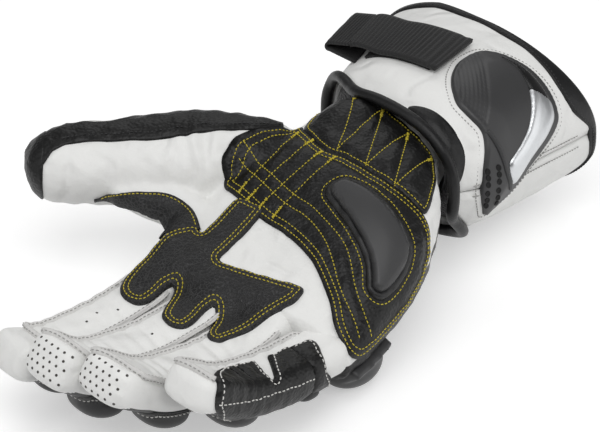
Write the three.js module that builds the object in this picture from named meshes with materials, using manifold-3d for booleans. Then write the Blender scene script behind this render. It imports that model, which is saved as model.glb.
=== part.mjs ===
// Riding glove for the right hand, lying on its back with the palm up.
// Millimetres. X runs from the fingertips to the cuff, Y to the thumb side, Z up out of the palm.
import * as THREE from 'three';
import ManifoldModule from 'manifold-3d';

const wasm = await ManifoldModule();
wasm.setup();

// Gaps and walls
const SEAM_GAP = 0.3;
const HAND_WALL = 2.4;
const STALL_WALL = 2;
const CUFF_WALL = 3;
const LINING_WALL = 1;

// Patch and guard thicknesses
const HEEL_PAD = 2.6;
const WRIST_PAD = 2;
const GRIP_SKIN = 1.2;
const RIM_PLATE = 1.2;
const SLIDER_RISE = 4;
const SHIELD_PLATE = 4;
const GUARD_RISE = 5;
const CUFF_GUARD_RISE = 4;
const INSERT_RISE = 1.6;
const SOFT_PANEL = 1.6;
const STRAP_THICK = 2.2;
const HOOK_PAD = 1.2;
const SIDE_PANEL = 1.2;

// How round the sections are: 2 is an ellipse, more is squarer
const HAND_SQUARE = 2.7;
const DIGIT_SQUARE = 2.3;
const CUFF_SQUARE = 2.35;
const HAND_SIDES = 28;
const DIGIT_SIDES = 16;
const CUFF_SIDES = 32;

// Row of four fingers, index first: half width at the root and at the tip, half thickness likewise, lift of
// the centre line, lengths to the middle joint, to the end joint and to the end, yaw and the three pitches.
const FINGER_GAP = 1.4;
const ROW_CENTRE = -3;
const FINGERS = {
  index: {
    half: 12, tipHalf: 12, thick: 10.8, tipThick: 9.6, lift: -1.8,
    reach: 33, second: 29, third: 26, yaw: 8.5, pitch: [-2, 8, 30],
  },
  middle: {
    half: 12.3, tipHalf: 12.6, thick: 11, tipThick: 9.6, lift: -1.4,
    reach: 40, second: 30, third: 27.5, yaw: 7.5, pitch: [0, 14, 40],
  },
  ring: {
    half: 12.2, tipHalf: 12.7, thick: 10.6, tipThick: 8.4, lift: -0.9,
    reach: 37, second: 29, third: 34.5, yaw: 7, pitch: [2, 15, 37],
  },
  little: {
    half: 11.4, tipHalf: 11.6, thick: 8.6, tipThick: 7.7, lift: 2.6,
    reach: 30, second: 26, third: 30.5, yaw: 6, pitch: [4, 14, 34],
  },
};
const FINGER_DOME = 11;
const FINGER_FLEX = 12;
const BEND = 9;

// Thumb, from the end of its root on the hand
const THUMB = {
  half: 20, tipHalf: 16.5, thick: 17.5, tipThick: 14.5,
  reach: 46, second: 16, third: 14.5, yaw: 50, pitch: [-2, 2, 4],
};
const THUMB_ROOT = new THREE.Vector3(45.4, 60.2, 59.5);
const THUMB_ROLL = 30;
const THUMB_DOME = 15;
const THUMB_FLEX = 14;
const THUMB_SINK = 39;
const THUMB_SINK_HALF = 10;
const THUMB_SINK_THICK = 7;

// Hand sections from the wrist to the finger roots
const rowWidth = Object.values(FINGERS).reduce((sum, f) => sum + 2 * f.half, 3 * FINGER_GAP);
const ROW_MARGIN = 0.4;
const KNUCKLE_MARGIN = 1;
const HAND = {
  wrist: { x: 112, y: 4, z: 53, half: 28, up: 20, down: 20, tilt: 0, shear: 0 },
  waist: { x: 97, y: 2, z: 52, half: 30.5, up: 22, down: 22, tilt: 0, shear: 0 },
  heel: { x: 80, y: 0, z: 49, half: 41, up: 25, down: 24, tilt: 0.02, shear: 0 },
  palm: { x: 50, y: -2, z: 42, half: 50, up: 25, down: 22, tilt: 0.04, shear: 0 },
  knuckles: {
    x: 15, y: ROW_CENTRE, z: 33, half: rowWidth / 2 + KNUCKLE_MARGIN,
    up: 20, down: 16, tilt: 0.06, shear: -0.06,
  },
  root: {
    x: -6, y: ROW_CENTRE, z: 29.8, half: rowWidth / 2 + ROW_MARGIN,
    up: 15.5, down: 14.5, tilt: 0.065, shear: -0.12,
  },
};
const HAND_SECTIONS = Object.values(HAND);
const WRIST = HAND.wrist;
const ROOT = HAND.root;

// Cuff sections from the wrist roll to the rim. The rim is cut back on the palm and outer side, the front edge
// everywhere else
const CUFF = {
  front: { x: 104, y: 2, z: 52, half: 38.5, up: 28, down: 28, shear: 0.14 },
  flare: { x: 117, y: 1, z: 52, half: 46, up: 34, down: 35, shear: 0.08 },
  strap: { x: 140, y: 1, z: 52, half: 51, up: 36, down: 39, shear: 0 },
  guard: { x: 165, y: 2.5, z: 51, half: 56, up: 37, down: 40, shear: 0 },
  rim: { x: 190, y: 4.5, z: 50, half: 61, up: 37, down: 40, shear: 0 },
};
const CUFF_SECTIONS = Object.values(CUFF);
const CUFF_FRONT = CUFF.front.x;
const CUFF_RIM = CUFF.rim.x;
const RIM_CUT = 12;
const RIM_CUT_LENGTH = 40;
const RIM_CUT_FROM = 66;
const RIM_CUT_TO = 196;
const FRONT_CUT = 20;
const FRONT_CUT_END = 127;
const FRONT_CUT_MIDDLE = 130;
const FRONT_CUT_WIDTH = 110;
const FRONT_CUT_EASE = 60;
const ROLL_RADIUS = 3.2;
const ROLL_INSET = 0.4;
const BINDING_WIDTH = 8;
const BINDING_SKIN = 1.2;
const GUSSET_WALL = 1.6;

const rad = THREE.MathUtils.degToRad;

function power(value, exponent) {
  return Math.sign(value) * Math.abs(value) ** exponent;
}

function blend(a, b, t) {
  return a + (b - a) * t;
}

// A closed skin through loops of points; a loop of one point closes an end.
function skin(loops, joined) {
  const points = [];
  const starts = loops.map((loop) => points.push(...loop) - loop.length);
  const index = [];
  const last = joined ? loops.length : loops.length - 1;
  for (let i = 0; i < last; i += 1) {
    const j = (i + 1) % loops.length;
    const n = Math.max(loops[i].length, loops[j].length);
    for (let k = 0; k < n; k += 1) {
      const m = (k + 1) % n;
      const one = loops[i].length === 1;
      const two = loops[j].length === 1;
      const a = starts[i] + (one ? 0 : k);
      const b = starts[i] + (one ? 0 : m);
      const c = starts[j] + (two ? 0 : m);
      const d = starts[j] + (two ? 0 : k);
      if (!one) index.push(a, b, c);
      if (!two) index.push(a, c, d);
    }
  }
  return facing(points, index);
}

// Indexed geometry with its faces turned outward.
function facing(points, index) {
  let volume = 0;
  const cross = new THREE.Vector3();
  for (let i = 0; i < index.length; i += 3) {
    const [a, b, c] = [points[index[i]], points[index[i + 1]], points[index[i + 2]]];
    volume += a.dot(cross.crossVectors(b, c));
  }
  const turned = volume < 0 ? index.map((_, i) => index[i % 3 ? i + (i % 3 === 1 ? 1 : -1) : i]) : index;
  const geometry = new THREE.BufferGeometry().setFromPoints(points);
  geometry.setIndex(turned);
  return geometry;
}

function centre(loop) {
  const sum = new THREE.Vector3();
  loop.forEach((p) => sum.add(p));
  return [sum.divideScalar(loop.length)];
}

function capped(loops) {
  return skin([centre(loops[0]), ...loops, centre(loops[loops.length - 1])], false);
}

// A piece of wall between two offsets of a surface, over part of its length and part of its round.
function sector(place, along, round, low, high) {
  const loops = along.map((s) => {
    const [inner, outer] = [low, high].map((off) => round.map(
      (a) => place(s, a, typeof off === 'function' ? off(s, a) : off),
    ));
    inner.reverse();
    return [...outer, ...inner];
  });
  const points = loops.flat();
  const n = loops[0].length;
  const index = [];
  for (let i = 0; i + 1 < loops.length; i += 1) {
    for (let k = 0; k < n; k += 1) {
      const m = (k + 1) % n;
      index.push(i * n + k, i * n + m, (i + 1) * n + m, i * n + k, (i + 1) * n + m, (i + 1) * n + k);
    }
  }
  const end = (loops.length - 1) * n;
  for (let k = 0; k + 1 < round.length; k += 1) {
    const [a, b, c, d] = [k, k + 1, n - 2 - k, n - 1 - k];
    index.push(a, c, b, a, d, c);
    index.push(end + a, end + b, end + c, end + a, end + c, end + d);
  }
  return facing(points, index);
}

// A pipe between two offsets of a surface, open at both ends.
function pipe(place, along, sides, low, high) {
  const loop = (s, off) => roundOf(sides).map((a) => place(s, a, off));
  const outer = along.map((s) => loop(s, high));
  const inner = along.map((s) => loop(s, low)).reverse();
  return skin([...outer, ...inner], true);
}

function roundOf(sides) {
  return Array.from({ length: sides }, (_, k) => (2 * Math.PI * k) / sides);
}

function spread(from, to, count) {
  return Array.from({ length: count }, (_, k) => blend(from, to, k / (count - 1)));
}

function toSolid(geometry) {
  const vertProperties = new Float32Array(geometry.attributes.position.array);
  const triVerts = new Uint32Array(geometry.index.array);
  return new wasm.Manifold(new wasm.Mesh({ numProp: 3, vertProperties, triVerts }));
}

// The main body of a cut, without slivers that the cut leaves beside it.
function toGeometry(solid) {
  const mesh = solid.decompose().reduce((a, b) => (a.volume() > b.volume() ? a : b)).getMesh();
  const geometry = new THREE.BufferGeometry();
  const places = Float32Array.from({ length: mesh.numVert * 3 }, (_, i) => {
    const vertex = Math.floor(i / 3);
    return mesh.vertProperties[vertex * mesh.numProp + (i % 3)];
  });
  geometry.setAttribute('position', new THREE.BufferAttribute(places, 3));
  geometry.setIndex(new THREE.BufferAttribute(new Uint32Array(mesh.triVerts), 1));
  return geometry;
}

// A digit: its centre line bends in one upright plane at the middle and end joints.
function digit(size, root, roll, dome) {
  const heading = new THREE.Vector3(-Math.cos(rad(size.yaw)), Math.sin(rad(size.yaw)), 0);
  const upward = new THREE.Vector3(0, 0, 1);
  const length = size.reach + size.second + size.third;
  const turn = (s, joint) => THREE.MathUtils.clamp((s - joint + BEND) / (2 * BEND), 0, 1);
  const pitch = (s) => rad(size.pitch[0]
    + (size.pitch[1] - size.pitch[0]) * turn(s, size.reach)
    + (size.pitch[2] - size.pitch[1]) * turn(s, size.reach + size.second));
  const frame = (s) => {
    const steps = Math.max(1, Math.ceil(Math.abs(s)));
    const at = root.clone();
    for (let k = 0; k < steps; k += 1) {
      const p = pitch(((k + 0.5) * s) / steps);
      at.addScaledVector(heading, (Math.cos(p) * s) / steps);
      at.addScaledVector(upward, (Math.sin(p) * s) / steps);
    }
    const p = pitch(s);
    const along = heading.clone().multiplyScalar(Math.cos(p)).addScaledVector(upward, Math.sin(p));
    const palm = heading.clone().multiplyScalar(-Math.sin(p)).addScaledVector(upward, Math.cos(p));
    const side = new THREE.Vector3().crossVectors(along, palm);
    const across = side.clone().multiplyScalar(Math.cos(roll)).addScaledVector(palm, Math.sin(roll));
    const face = palm.clone().multiplyScalar(Math.cos(roll)).addScaledVector(side, -Math.sin(roll));
    return { at, along, across, face };
  };
  const half = (s) => blend(size.half, size.tipHalf, THREE.MathUtils.clamp(s / length, 0, 1));
  const thick = (s) => blend(size.thick, size.tipThick, THREE.MathUtils.clamp(s / length, 0, 1));
  const ringPoint = (f, angle, wide, high) => f.at.clone()
    .addScaledVector(f.across, wide * power(Math.cos(angle), 2 / DIGIT_SQUARE))
    .addScaledVector(f.face, high * power(Math.sin(angle), 2 / DIGIT_SQUARE));
  const place = (s, angle, off) => ringPoint(frame(s), angle, half(s) + off, thick(s) + off);
  const domeStart = length - dome;
  const cup = (from, off) => {
    const loops = spread(from, domeStart, 5).map((s) => roundOf(DIGIT_SIDES).map((a) => place(s, a, off)));
    [30, 60].forEach((tilt) => {
      const s = domeStart + (dome + off) * Math.sin(rad(tilt));
      const f = frame(s);
      const shrink = Math.cos(rad(tilt));
      loops.push(roundOf(DIGIT_SIDES)
        .map((a) => ringPoint(f, a, (half(s) + off) * shrink, (thick(s) + off) * shrink)));
    });
    loops.push([frame(length + off).at]);
    return loops;
  };
  return { frame, half, thick, place, ringPoint, cup, length, domeStart };
}

// Hand surface
function handLoop(section, off, sides = HAND_SIDES) {
  return roundOf(sides).map((a) => {
    const y = (section.half + off) * power(Math.cos(a), 2 / HAND_SQUARE);
    const rise = power(Math.sin(a), 2 / HAND_SQUARE);
    const z = rise * (off + (rise > 0 ? section.up : section.down));
    return new THREE.Vector3(
      section.x + section.shear * y,
      section.y + y,
      section.z + z + section.tilt * y,
    );
  });
}

function handBody(off, wristReach, rootInset) {
  const sections = HAND_SECTIONS.map((s) => ({ ...s }));
  sections[0].x += wristReach;
  sections[sections.length - 1].x += rootInset;
  return toSolid(capped(sections.map((s) => handLoop(s, off))));
}

const thumb = digit(THUMB, THUMB_ROOT, rad(THUMB_ROLL), THUMB_DOME);

// The ball of the thumb: the root swells out of the palm up to the end of the thumb root.
function thumbBall(off, reach) {
  const loops = [0, 0.5, 1, 1].map((t, k) => {
    const s = -THUMB_SINK * (1 - t) + (k === 3 ? reach : 0);
    const f = thumb.frame(s);
    const wide = blend(THUMB_SINK_HALF, THUMB.half, Math.sqrt(t)) + off;
    const high = blend(THUMB_SINK_THICK, THUMB.thick, Math.sqrt(t)) + off;
    return roundOf(DIGIT_SIDES).map((a) => thumb.ringPoint(f, a, wide, high));
  });
  return toSolid(capped(reach > 0 ? loops : loops.slice(0, 3)));
}

function handSkin(off) {
  return handBody(off, 0, 0).add(thumbBall(off, 0));
}

// Which side of the side seam: the seam runs along the middle of the sections and drops under the thumb.
const SEAM_REACH = 160;
const SEAM_STEP = 43;
const SEAM_DROP = 30;
function halfSpace(up) {
  const gap = up ? SEAM_GAP / 2 : -SEAM_GAP / 2;
  const far = up ? SEAM_REACH : -SEAM_REACH;
  const ends = [
    { ...WRIST, x: WRIST.x + SEAM_REACH },
    ...HAND_SECTIONS.map((s) => ({ ...s, shear: 0 })),
    { ...ROOT, x: ROOT.x - SEAM_REACH, shear: 0 },
  ];
  const loops = ends.map((s) => {
    const level = (y) => s.z + s.tilt * (y - s.y) + gap;
    return [
      [-SEAM_REACH, level(-s.half)],
      [SEAM_STEP, level(s.half)],
      [SEAM_STEP + gap * 2, level(s.half) - SEAM_DROP],
      [SEAM_REACH, level(s.half) - SEAM_DROP],
      [SEAM_REACH, far],
      [-SEAM_REACH, far],
    ].map(([y, z]) => new THREE.Vector3(s.x, y, z));
  });
  return toSolid(capped(loops));
}

// The front of the hand, where the fingers start
function frontX(y) {
  return ROOT.x + ROOT.shear * (y - ROOT.y);
}

const digits = {};
let rowEdge = ROW_CENTRE + rowWidth / 2;
Object.entries(FINGERS).forEach(([name, size]) => {
  const y = rowEdge - size.half;
  rowEdge -= 2 * size.half + FINGER_GAP;
  const level = ROOT.z + ROOT.tilt * (y - ROOT.y) + size.lift;
  const root = new THREE.Vector3(frontX(y) - SEAM_GAP, y, level);
  digits[name] = digit(size, root, 0, FINGER_DOME);
});

// Moves a point of a finger's first ring along the finger onto the slanted front of the hand.
function ontoFront(point, along) {
  const step = (frontX(point.y) - SEAM_GAP - point.x) / (along.x - ROOT.shear * along.y);
  return point.clone().addScaledVector(along, step);
}

const glove = new THREE.Group();
glove.name = 'riding_glove';

const LOOKS = {
  white_leather: { color: 0xe9e8e5, roughness: 0.5 },
  black_leather: { color: 0x1d1d1e, roughness: 0.55 },
  grip_leather: { color: 0x232324, roughness: 0.7 },
  grey_tpu: { color: 0x45464a, roughness: 0.4 },
  black_tpu: { color: 0x1a1a1b, roughness: 0.45 },
  silver_plate: { color: 0xb9bcc0, roughness: 0.25, metalness: 0.9 },
  black_webbing: { color: 0x161617, roughness: 0.85 },
  stretch_fabric: { color: 0x1b1b1c, roughness: 0.9 },
  lining_fabric: { color: 0x2a2a2c, roughness: 0.95 },
};

function part(name, geometry, look) {
  const mesh = new THREE.Mesh(geometry, new THREE.MeshStandardMaterial({ name: look, ...LOOKS[look] }));
  mesh.geometry.computeVertexNormals();
  mesh.name = name;
  glove.add(mesh);
}

// Hand shell: the palm piece and the back piece, sewn along the sides, and the lining inside
function fingerHoles(off) {
  return Object.values(digits).map((d) => {
    const loops = [-HAND_WALL * 4, HAND_WALL * 2].map((s) => {
      const f = d.frame(s);
      return roundOf(DIGIT_SIDES).map((a) => d.ringPoint(f, a, d.half(0) + off, d.thick(0) + off));
    });
    return toSolid(capped(loops));
  });
}

function hollow(off, rootInset) {
  const opened = handBody(off, HAND_WALL * 2, rootInset).add(thumbBall(off, HAND_WALL));
  return fingerHoles(off).reduce((sum, hole) => sum.add(hole), opened);
}

const shell = handSkin(0).subtract(hollow(-HAND_WALL, HAND_WALL));
part('palm_leather', toGeometry(shell.intersect(halfSpace(true))), 'white_leather');
part('back_leather', toGeometry(shell.intersect(halfSpace(false))), 'black_leather');

const liningOut = HAND_WALL + SEAM_GAP;
const liningIn = liningOut + LINING_WALL;
const lining = handBody(-liningOut, 0, liningOut).add(thumbBall(-liningOut, 0))
  .subtract(hollow(-liningIn, liningIn));
part('hand_lining', toGeometry(lining), 'lining_fabric');

// Patches on the palm: an outline in plan, laid on the hand at a given height
function prism(outline, bottom) {
  const shape = new THREE.Shape(outline.map(([x, y]) => new THREE.Vector2(x, y)));
  const block = new THREE.ExtrudeGeometry(shape, { depth: SEAM_REACH, bevelEnabled: false });
  block.translate(0, 0, bottom);
  const solid = new THREE.BufferGeometry();
  const points = [];
  const found = new Map();
  const index = [];
  const place = block.attributes.position;
  for (let i = 0; i < place.count; i += 1) {
    const p = new THREE.Vector3().fromBufferAttribute(place, i);
    const key = [p.x, p.y, p.z].map((v) => v.toFixed(4)).join(' ');
    if (!found.has(key)) found.set(key, points.push(p) - 1);
    index.push(found.get(key));
  }
  solid.setFromPoints(points);
  solid.setIndex(index);
  return toSolid(solid);
}

function palmPatch(outline, low, thick) {
  return prism(outline, 0).intersect(halfSpace(true))
    .intersect(handSkin(low + thick)).subtract(handSkin(low));
}

// Outlines read along the palm, in plan
const HEEL_OUTLINE = [
  [3, -56], [1, -44], [6, -35], [10, -29], [15, -16], [19, 0], [22, 12], [25, 24], [33, 38],
  [39, 44], [47, 47], [56, 43], [68, 38], [79, 30], [71, 11], [69, 1], [66, -15], [66, -28],
  [66, -41], [62, -60], [30, -60],
];
const WRIST_OUTLINE = [
  [81, 30], [73, 11], [71, 1], [68, -15], [68, -28], [68, -40], [72, -44], [82, -35], [89, -26],
  [93, 0], [95, 20], [90, 30],
];
const GRIP_OUTLINE = [
  [-4, -22], [6, -23], [2, 4], [0, 13], [9, 14], [17, 11], [20, 14], [22, 23], [8, 28], [4, 40], [-9, 44],
];
const SLIDER_OUTLINE = [
  [53, -6], [57, -14], [56, -23], [53, -32], [48, -40], [41, -44], [32, -46], [25, -47],
  [25, -44], [31, -39], [36, -35], [40, -29], [43, -22], [46, -14], [48, -8],
];
const RIM_BORDER = 3.4;

// The outline moved outward by a border, corner by corner.
function grown(outline, border) {
  const n = outline.length;
  let area = 0;
  outline.forEach(([x, y], i) => {
    const [u, v] = outline[(i + 1) % n];
    area += x * v - u * y;
  });
  const outward = Math.sign(area) * border;
  return outline.map(([x, y], i) => {
    const [px, py] = outline[(i + n - 1) % n];
    const [qx, qy] = outline[(i + 1) % n];
    const tangent = new THREE.Vector2(qx - px, qy - py).normalize();
    return [x + tangent.y * outward, y - tangent.x * outward];
  });
}

part('heel_patch', toGeometry(palmPatch(HEEL_OUTLINE, SEAM_GAP, HEEL_PAD)), 'black_leather');
part('wrist_patch', toGeometry(palmPatch(WRIST_OUTLINE, SEAM_GAP, WRIST_PAD)), 'black_leather');
part('grip_patch', toGeometry(palmPatch(GRIP_OUTLINE, SEAM_GAP, GRIP_SKIN)), 'grip_leather');
const rimLow = SEAM_GAP + HEEL_PAD + SEAM_GAP;
const sliderLow = rimLow + RIM_PLATE + SEAM_GAP;
const rimOutline = grown(SLIDER_OUTLINE, RIM_BORDER);
part('slider_rim', toGeometry(palmPatch(rimOutline, rimLow, RIM_PLATE)), 'black_tpu');
part('palm_slider', toGeometry(palmPatch(SLIDER_OUTLINE, sliderLow, SLIDER_RISE)), 'grey_tpu');

// Knuckle shield on the back: a plate with a dome over each knuckle, all standing on one level
const SHIELD_FRONT = 3;
const SHIELD_LENGTH = 28;
const SHIELD_MARGIN = 6;
const KNUCKLE_BACK = 18;
const KNUCKLE_LONG = 15.5;
const KNUCKLE_TALL = 11;
const KNUCKLE_MERGE = 1.5;
const KNUCKLE_FLAT = 1.2;
const BAR_INSET = 3.5;
const REST_LEVEL = 5;
const shieldSides = [ROW_CENTRE - rowWidth / 2 + SHIELD_MARGIN, ROW_CENTRE + rowWidth / 2 - SHIELD_MARGIN];
const shieldOutline = [
  [frontX(shieldSides[0]) + SHIELD_FRONT, shieldSides[0]],
  [frontX(shieldSides[1]) + SHIELD_FRONT, shieldSides[1]],
  [frontX(shieldSides[1]) + SHIELD_FRONT + SHIELD_LENGTH, shieldSides[1]],
  [frontX(shieldSides[0]) + SHIELD_FRONT + SHIELD_LENGTH, shieldSides[0]],
];
let shield = prism(shieldOutline, -SEAM_REACH / 2).intersect(halfSpace(false))
  .intersect(handSkin(SEAM_GAP + SHIELD_PLATE));
Object.entries(digits).forEach(([name, d]) => {
  const root = d.frame(0).at;
  const dome = new THREE.SphereGeometry(1, 12, 8);
  dome.scale(KNUCKLE_LONG, FINGERS[name].half + KNUCKLE_MERGE, KNUCKLE_TALL);
  dome.translate(root.x + KNUCKLE_BACK, root.y, REST_LEVEL + KNUCKLE_TALL - KNUCKLE_FLAT);
  shield = shield.add(toSolid(welded(dome)));
});
const bar = new THREE.CylinderGeometry(1, 1, 1, 16);
bar.scale(KNUCKLE_LONG - BAR_INSET, rowWidth - 2 * SHIELD_MARGIN, KNUCKLE_TALL - BAR_INSET);
bar.rotateZ(-Math.atan(ROOT.shear));
bar.translate(ROOT.x + KNUCKLE_BACK, ROW_CENTRE, REST_LEVEL + KNUCKLE_TALL);
shield = shield.add(toSolid(welded(bar)));
const floorBlock = new THREE.BoxGeometry(4 * SEAM_REACH, 4 * SEAM_REACH, SEAM_REACH);
floorBlock.translate(0, 0, REST_LEVEL - SEAM_REACH / 2);
const floorSolid = toSolid(welded(floorBlock));
shield = shield.subtract(handSkin(SEAM_GAP)).subtract(floorSolid);
part('knuckle_shield', toGeometry(shield), 'grey_tpu');

// The same geometry with points in one place shared.
function welded(geometry) {
  const points = [];
  const found = new Map();
  const place = geometry.attributes.position;
  const same = Array.from({ length: place.count }, (_, i) => {
    const p = new THREE.Vector3().fromBufferAttribute(place, i);
    const key = [p.x, p.y, p.z].map((v) => v.toFixed(4)).join(' ');
    if (!found.has(key)) found.set(key, points.push(p) - 1);
    return found.get(key);
  });
  const index = [];
  const order = geometry.index ? Array.from(geometry.index.array) : same.map((_, i) => i);
  for (let i = 0; i < order.length; i += 3) {
    const [a, b, c] = [same[order[i]], same[order[i + 1]], same[order[i + 2]]];
    if (a !== b && b !== c && c !== a) index.push(a, b, c);
  }
  return facing(points, index);
}

// Fingers: knuckle bend, first stall, middle bend and closed tip, with a guard on the back of each stall
const BACK_FROM = rad(215);
const BACK_TO = rad(325);
const GUARD_END = 1.5;
const GUARD_EDGE = 0.2;
const TIP_GUARD_LENGTH = 34;
const LOBE_FROM = rad(48);
const LOBE_TO = rad(132);

function guardRise(from, to, rise) {
  return (s, a) => {
    const u = (s - from) / (to - from);
    const v = (a - BACK_FROM) / (BACK_TO - BACK_FROM);
    return SEAM_GAP + rise * (GUARD_EDGE + (1 - GUARD_EDGE) * Math.sin(Math.PI * u) * Math.sin(Math.PI * v));
  };
}

function tipGeometry(d, from) {
  const outer = d.cup(from, 0);
  const inner = d.cup(from, -STALL_WALL).reverse();
  return skin([...inner, ...outer], false);
}

const hinges = {};
Object.entries(digits).forEach(([name, d]) => {
  const size = FINGERS[name];
  const stallFrom = FINGER_FLEX + SEAM_GAP;
  const bendFrom = size.reach - FINGER_FLEX / 2;
  const bendTo = size.reach + FINGER_FLEX / 2;
  const stallTo = bendFrom - SEAM_GAP;
  const tipFrom = bendTo + SEAM_GAP;
  const along = d.frame(0).along;
  const knuckle = (s, a, off) => (s === 0 ? ontoFront(d.place(s, a, off), along) : d.place(s, a, off));
  part(`${name}_knuckle_bend`,
    pipe(knuckle, [0, FINGER_FLEX / 2, FINGER_FLEX], DIGIT_SIDES, -STALL_WALL, 0), 'white_leather');
  part(`${name}_stall`,
    pipe(d.place, spread(stallFrom, stallTo, 3), DIGIT_SIDES, -STALL_WALL, 0), 'white_leather');
  part(`${name}_middle_bend`,
    pipe(d.place, spread(bendFrom, bendTo, 4), DIGIT_SIDES, -STALL_WALL, 0), 'white_leather');
  part(`${name}_tip`, tipGeometry(d, tipFrom), 'white_leather');
  const back = spread(BACK_FROM, BACK_TO, 9);
  const [g0, g1] = [stallFrom + GUARD_END, stallTo - GUARD_END];
  part(`${name}_stall_guard`,
    sector(d.place, spread(g0, g1, 5), back, SEAM_GAP, guardRise(g0, g1, GUARD_RISE)), 'black_tpu');
  const [t0, t1] = [tipFrom + GUARD_END, tipFrom + GUARD_END + TIP_GUARD_LENGTH];
  part(`${name}_tip_guard`,
    sector(d.place, spread(t0, t1, 7), back, SEAM_GAP, guardRise(t0, t1, GUARD_RISE)), 'black_tpu');
  hinges[`${name}_knuckle`] = d.frame(FINGER_FLEX / 2);
  hinges[`${name}_middle`] = d.frame(size.reach);
  if (name !== 'little') {
    const lobe = spread(LOBE_FROM, LOBE_TO, 7);
    part(`${name}_grip_lobe`,
      sector(d.place, spread(g0, g1, 3), lobe, SEAM_GAP, SEAM_GAP + GRIP_SKIN), 'grip_leather');
  }
});

// Outer side panel of the little finger
const SIDE_FROM = rad(150);
const SIDE_TO = rad(200);
const little = digits.little;
const sideStart = FINGER_FLEX + SEAM_GAP + GUARD_END;
const sideEnd = FINGERS.little.reach - FINGER_FLEX / 2 - SEAM_GAP - GUARD_END;
part('little_side_panel',
  sector(little.place, spread(sideStart, sideEnd, 3), spread(SIDE_FROM, SIDE_TO, 5),
    SEAM_GAP, SEAM_GAP + SIDE_PANEL), 'black_leather');

// Thumb: base bend, stall, middle bend and tip, with the dark back panel and the grip strip below
const THUMB_BACK_FROM = rad(-40);
const THUMB_BACK_TO = rad(84);
const STRIP_FROM = rad(160);
const STRIP_TO = rad(205);
const bendFrom = THUMB.reach - THUMB_FLEX / 2;
const bendTo = THUMB.reach + THUMB_FLEX / 2;
const thumbStall = [SEAM_GAP + THUMB_FLEX + SEAM_GAP, bendFrom - SEAM_GAP];
part('thumb_base_bend',
  pipe(thumb.place, spread(SEAM_GAP, SEAM_GAP + THUMB_FLEX, 3), DIGIT_SIDES, -STALL_WALL, 0), 'white_leather');
part('thumb_stall', pipe(thumb.place, spread(...thumbStall, 3), DIGIT_SIDES, -STALL_WALL, 0), 'white_leather');
part('thumb_middle_bend',
  pipe(thumb.place, spread(bendFrom, bendTo, 4), DIGIT_SIDES, -STALL_WALL, 0), 'white_leather');
part('thumb_tip', tipGeometry(thumb, bendTo + SEAM_GAP), 'white_leather');
part('thumb_back_panel',
  sector(thumb.place, spread(thumbStall[0] + GUARD_END, thumbStall[1] - GUARD_END, 4),
    spread(THUMB_BACK_FROM, THUMB_BACK_TO, 7), SEAM_GAP, SEAM_GAP + SIDE_PANEL), 'black_leather');
part('thumb_grip_strip',
  sector(thumb.place, spread(thumbStall[0] + GUARD_END, thumbStall[1] - GUARD_END, 4),
    spread(STRIP_FROM, STRIP_TO, 4), SEAM_GAP, SEAM_GAP + GRIP_SKIN), 'grip_leather');
hinges.thumb_base = thumb.frame(SEAM_GAP + THUMB_FLEX / 2);
hinges.thumb_middle = thumb.frame(THUMB.reach);

// Cuff surface: the station runs along X and the angle round it, 0 at the thumb side and 90 at the palm
function cuffAt(station) {
  const last = CUFF_SECTIONS.length - 1;
  let k = 0;
  while (k < last - 1 && station > CUFF_SECTIONS[k + 1].x) k += 1;
  const [a, b] = [CUFF_SECTIONS[k], CUFF_SECTIONS[k + 1]];
  const t = (station - a.x) / (b.x - a.x);
  const mix = {};
  Object.keys(a).forEach((key) => {
    mix[key] = blend(a[key], b[key], t);
  });
  return mix;
}

function rimCut(station, angle) {
  const turned = THREE.MathUtils.clamp((angle - rad(RIM_CUT_FROM)) / rad(RIM_CUT_TO - RIM_CUT_FROM), 0, 1);
  const along = THREE.MathUtils.clamp((station - CUFF_RIM + RIM_CUT_LENGTH) / RIM_CUT_LENGTH, 0, 1);
  return RIM_CUT * Math.sin(Math.PI * turned) * along;
}

function frontCut(station, angle) {
  const from = rad(FRONT_CUT_MIDDLE);
  const away = Math.abs(Math.atan2(Math.sin(angle - from), Math.cos(angle - from))) - rad(FRONT_CUT_WIDTH / 2);
  const along = THREE.MathUtils.clamp((FRONT_CUT_END - station) / (FRONT_CUT_END - CUFF_FRONT), 0, 1);
  return FRONT_CUT * THREE.MathUtils.smoothstep(away, 0, rad(FRONT_CUT_EASE)) * along;
}

function cuffPlace(station, angle, off) {
  const s = cuffAt(station + frontCut(station, angle));
  const y = (s.half + off) * power(Math.cos(angle), 2 / CUFF_SQUARE);
  const rise = power(Math.sin(angle), 2 / CUFF_SQUARE);
  const z = rise * (off + (rise > 0 ? s.up : s.down));
  return new THREE.Vector3(s.x + s.shear * y - rimCut(station, angle), s.y + y, s.z + z);
}

// Angles and stations of a piece on the cuff, with every corner of the cuff itself between its ends
const CUFF_STEP = (2 * Math.PI) / CUFF_SIDES;
function between(from, to, corners) {
  return [from, ...corners.filter((c) => c > from + 0.01 && c < to - 0.01), to];
}

function turns(from, to) {
  return between(from, to, roundOf(CUFF_SIDES));
}

function stations(from, to, extra = []) {
  return between(from, to, [...CUFF_SECTIONS.map((s) => s.x), ...extra].sort((a, b) => a - b));
}

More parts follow.
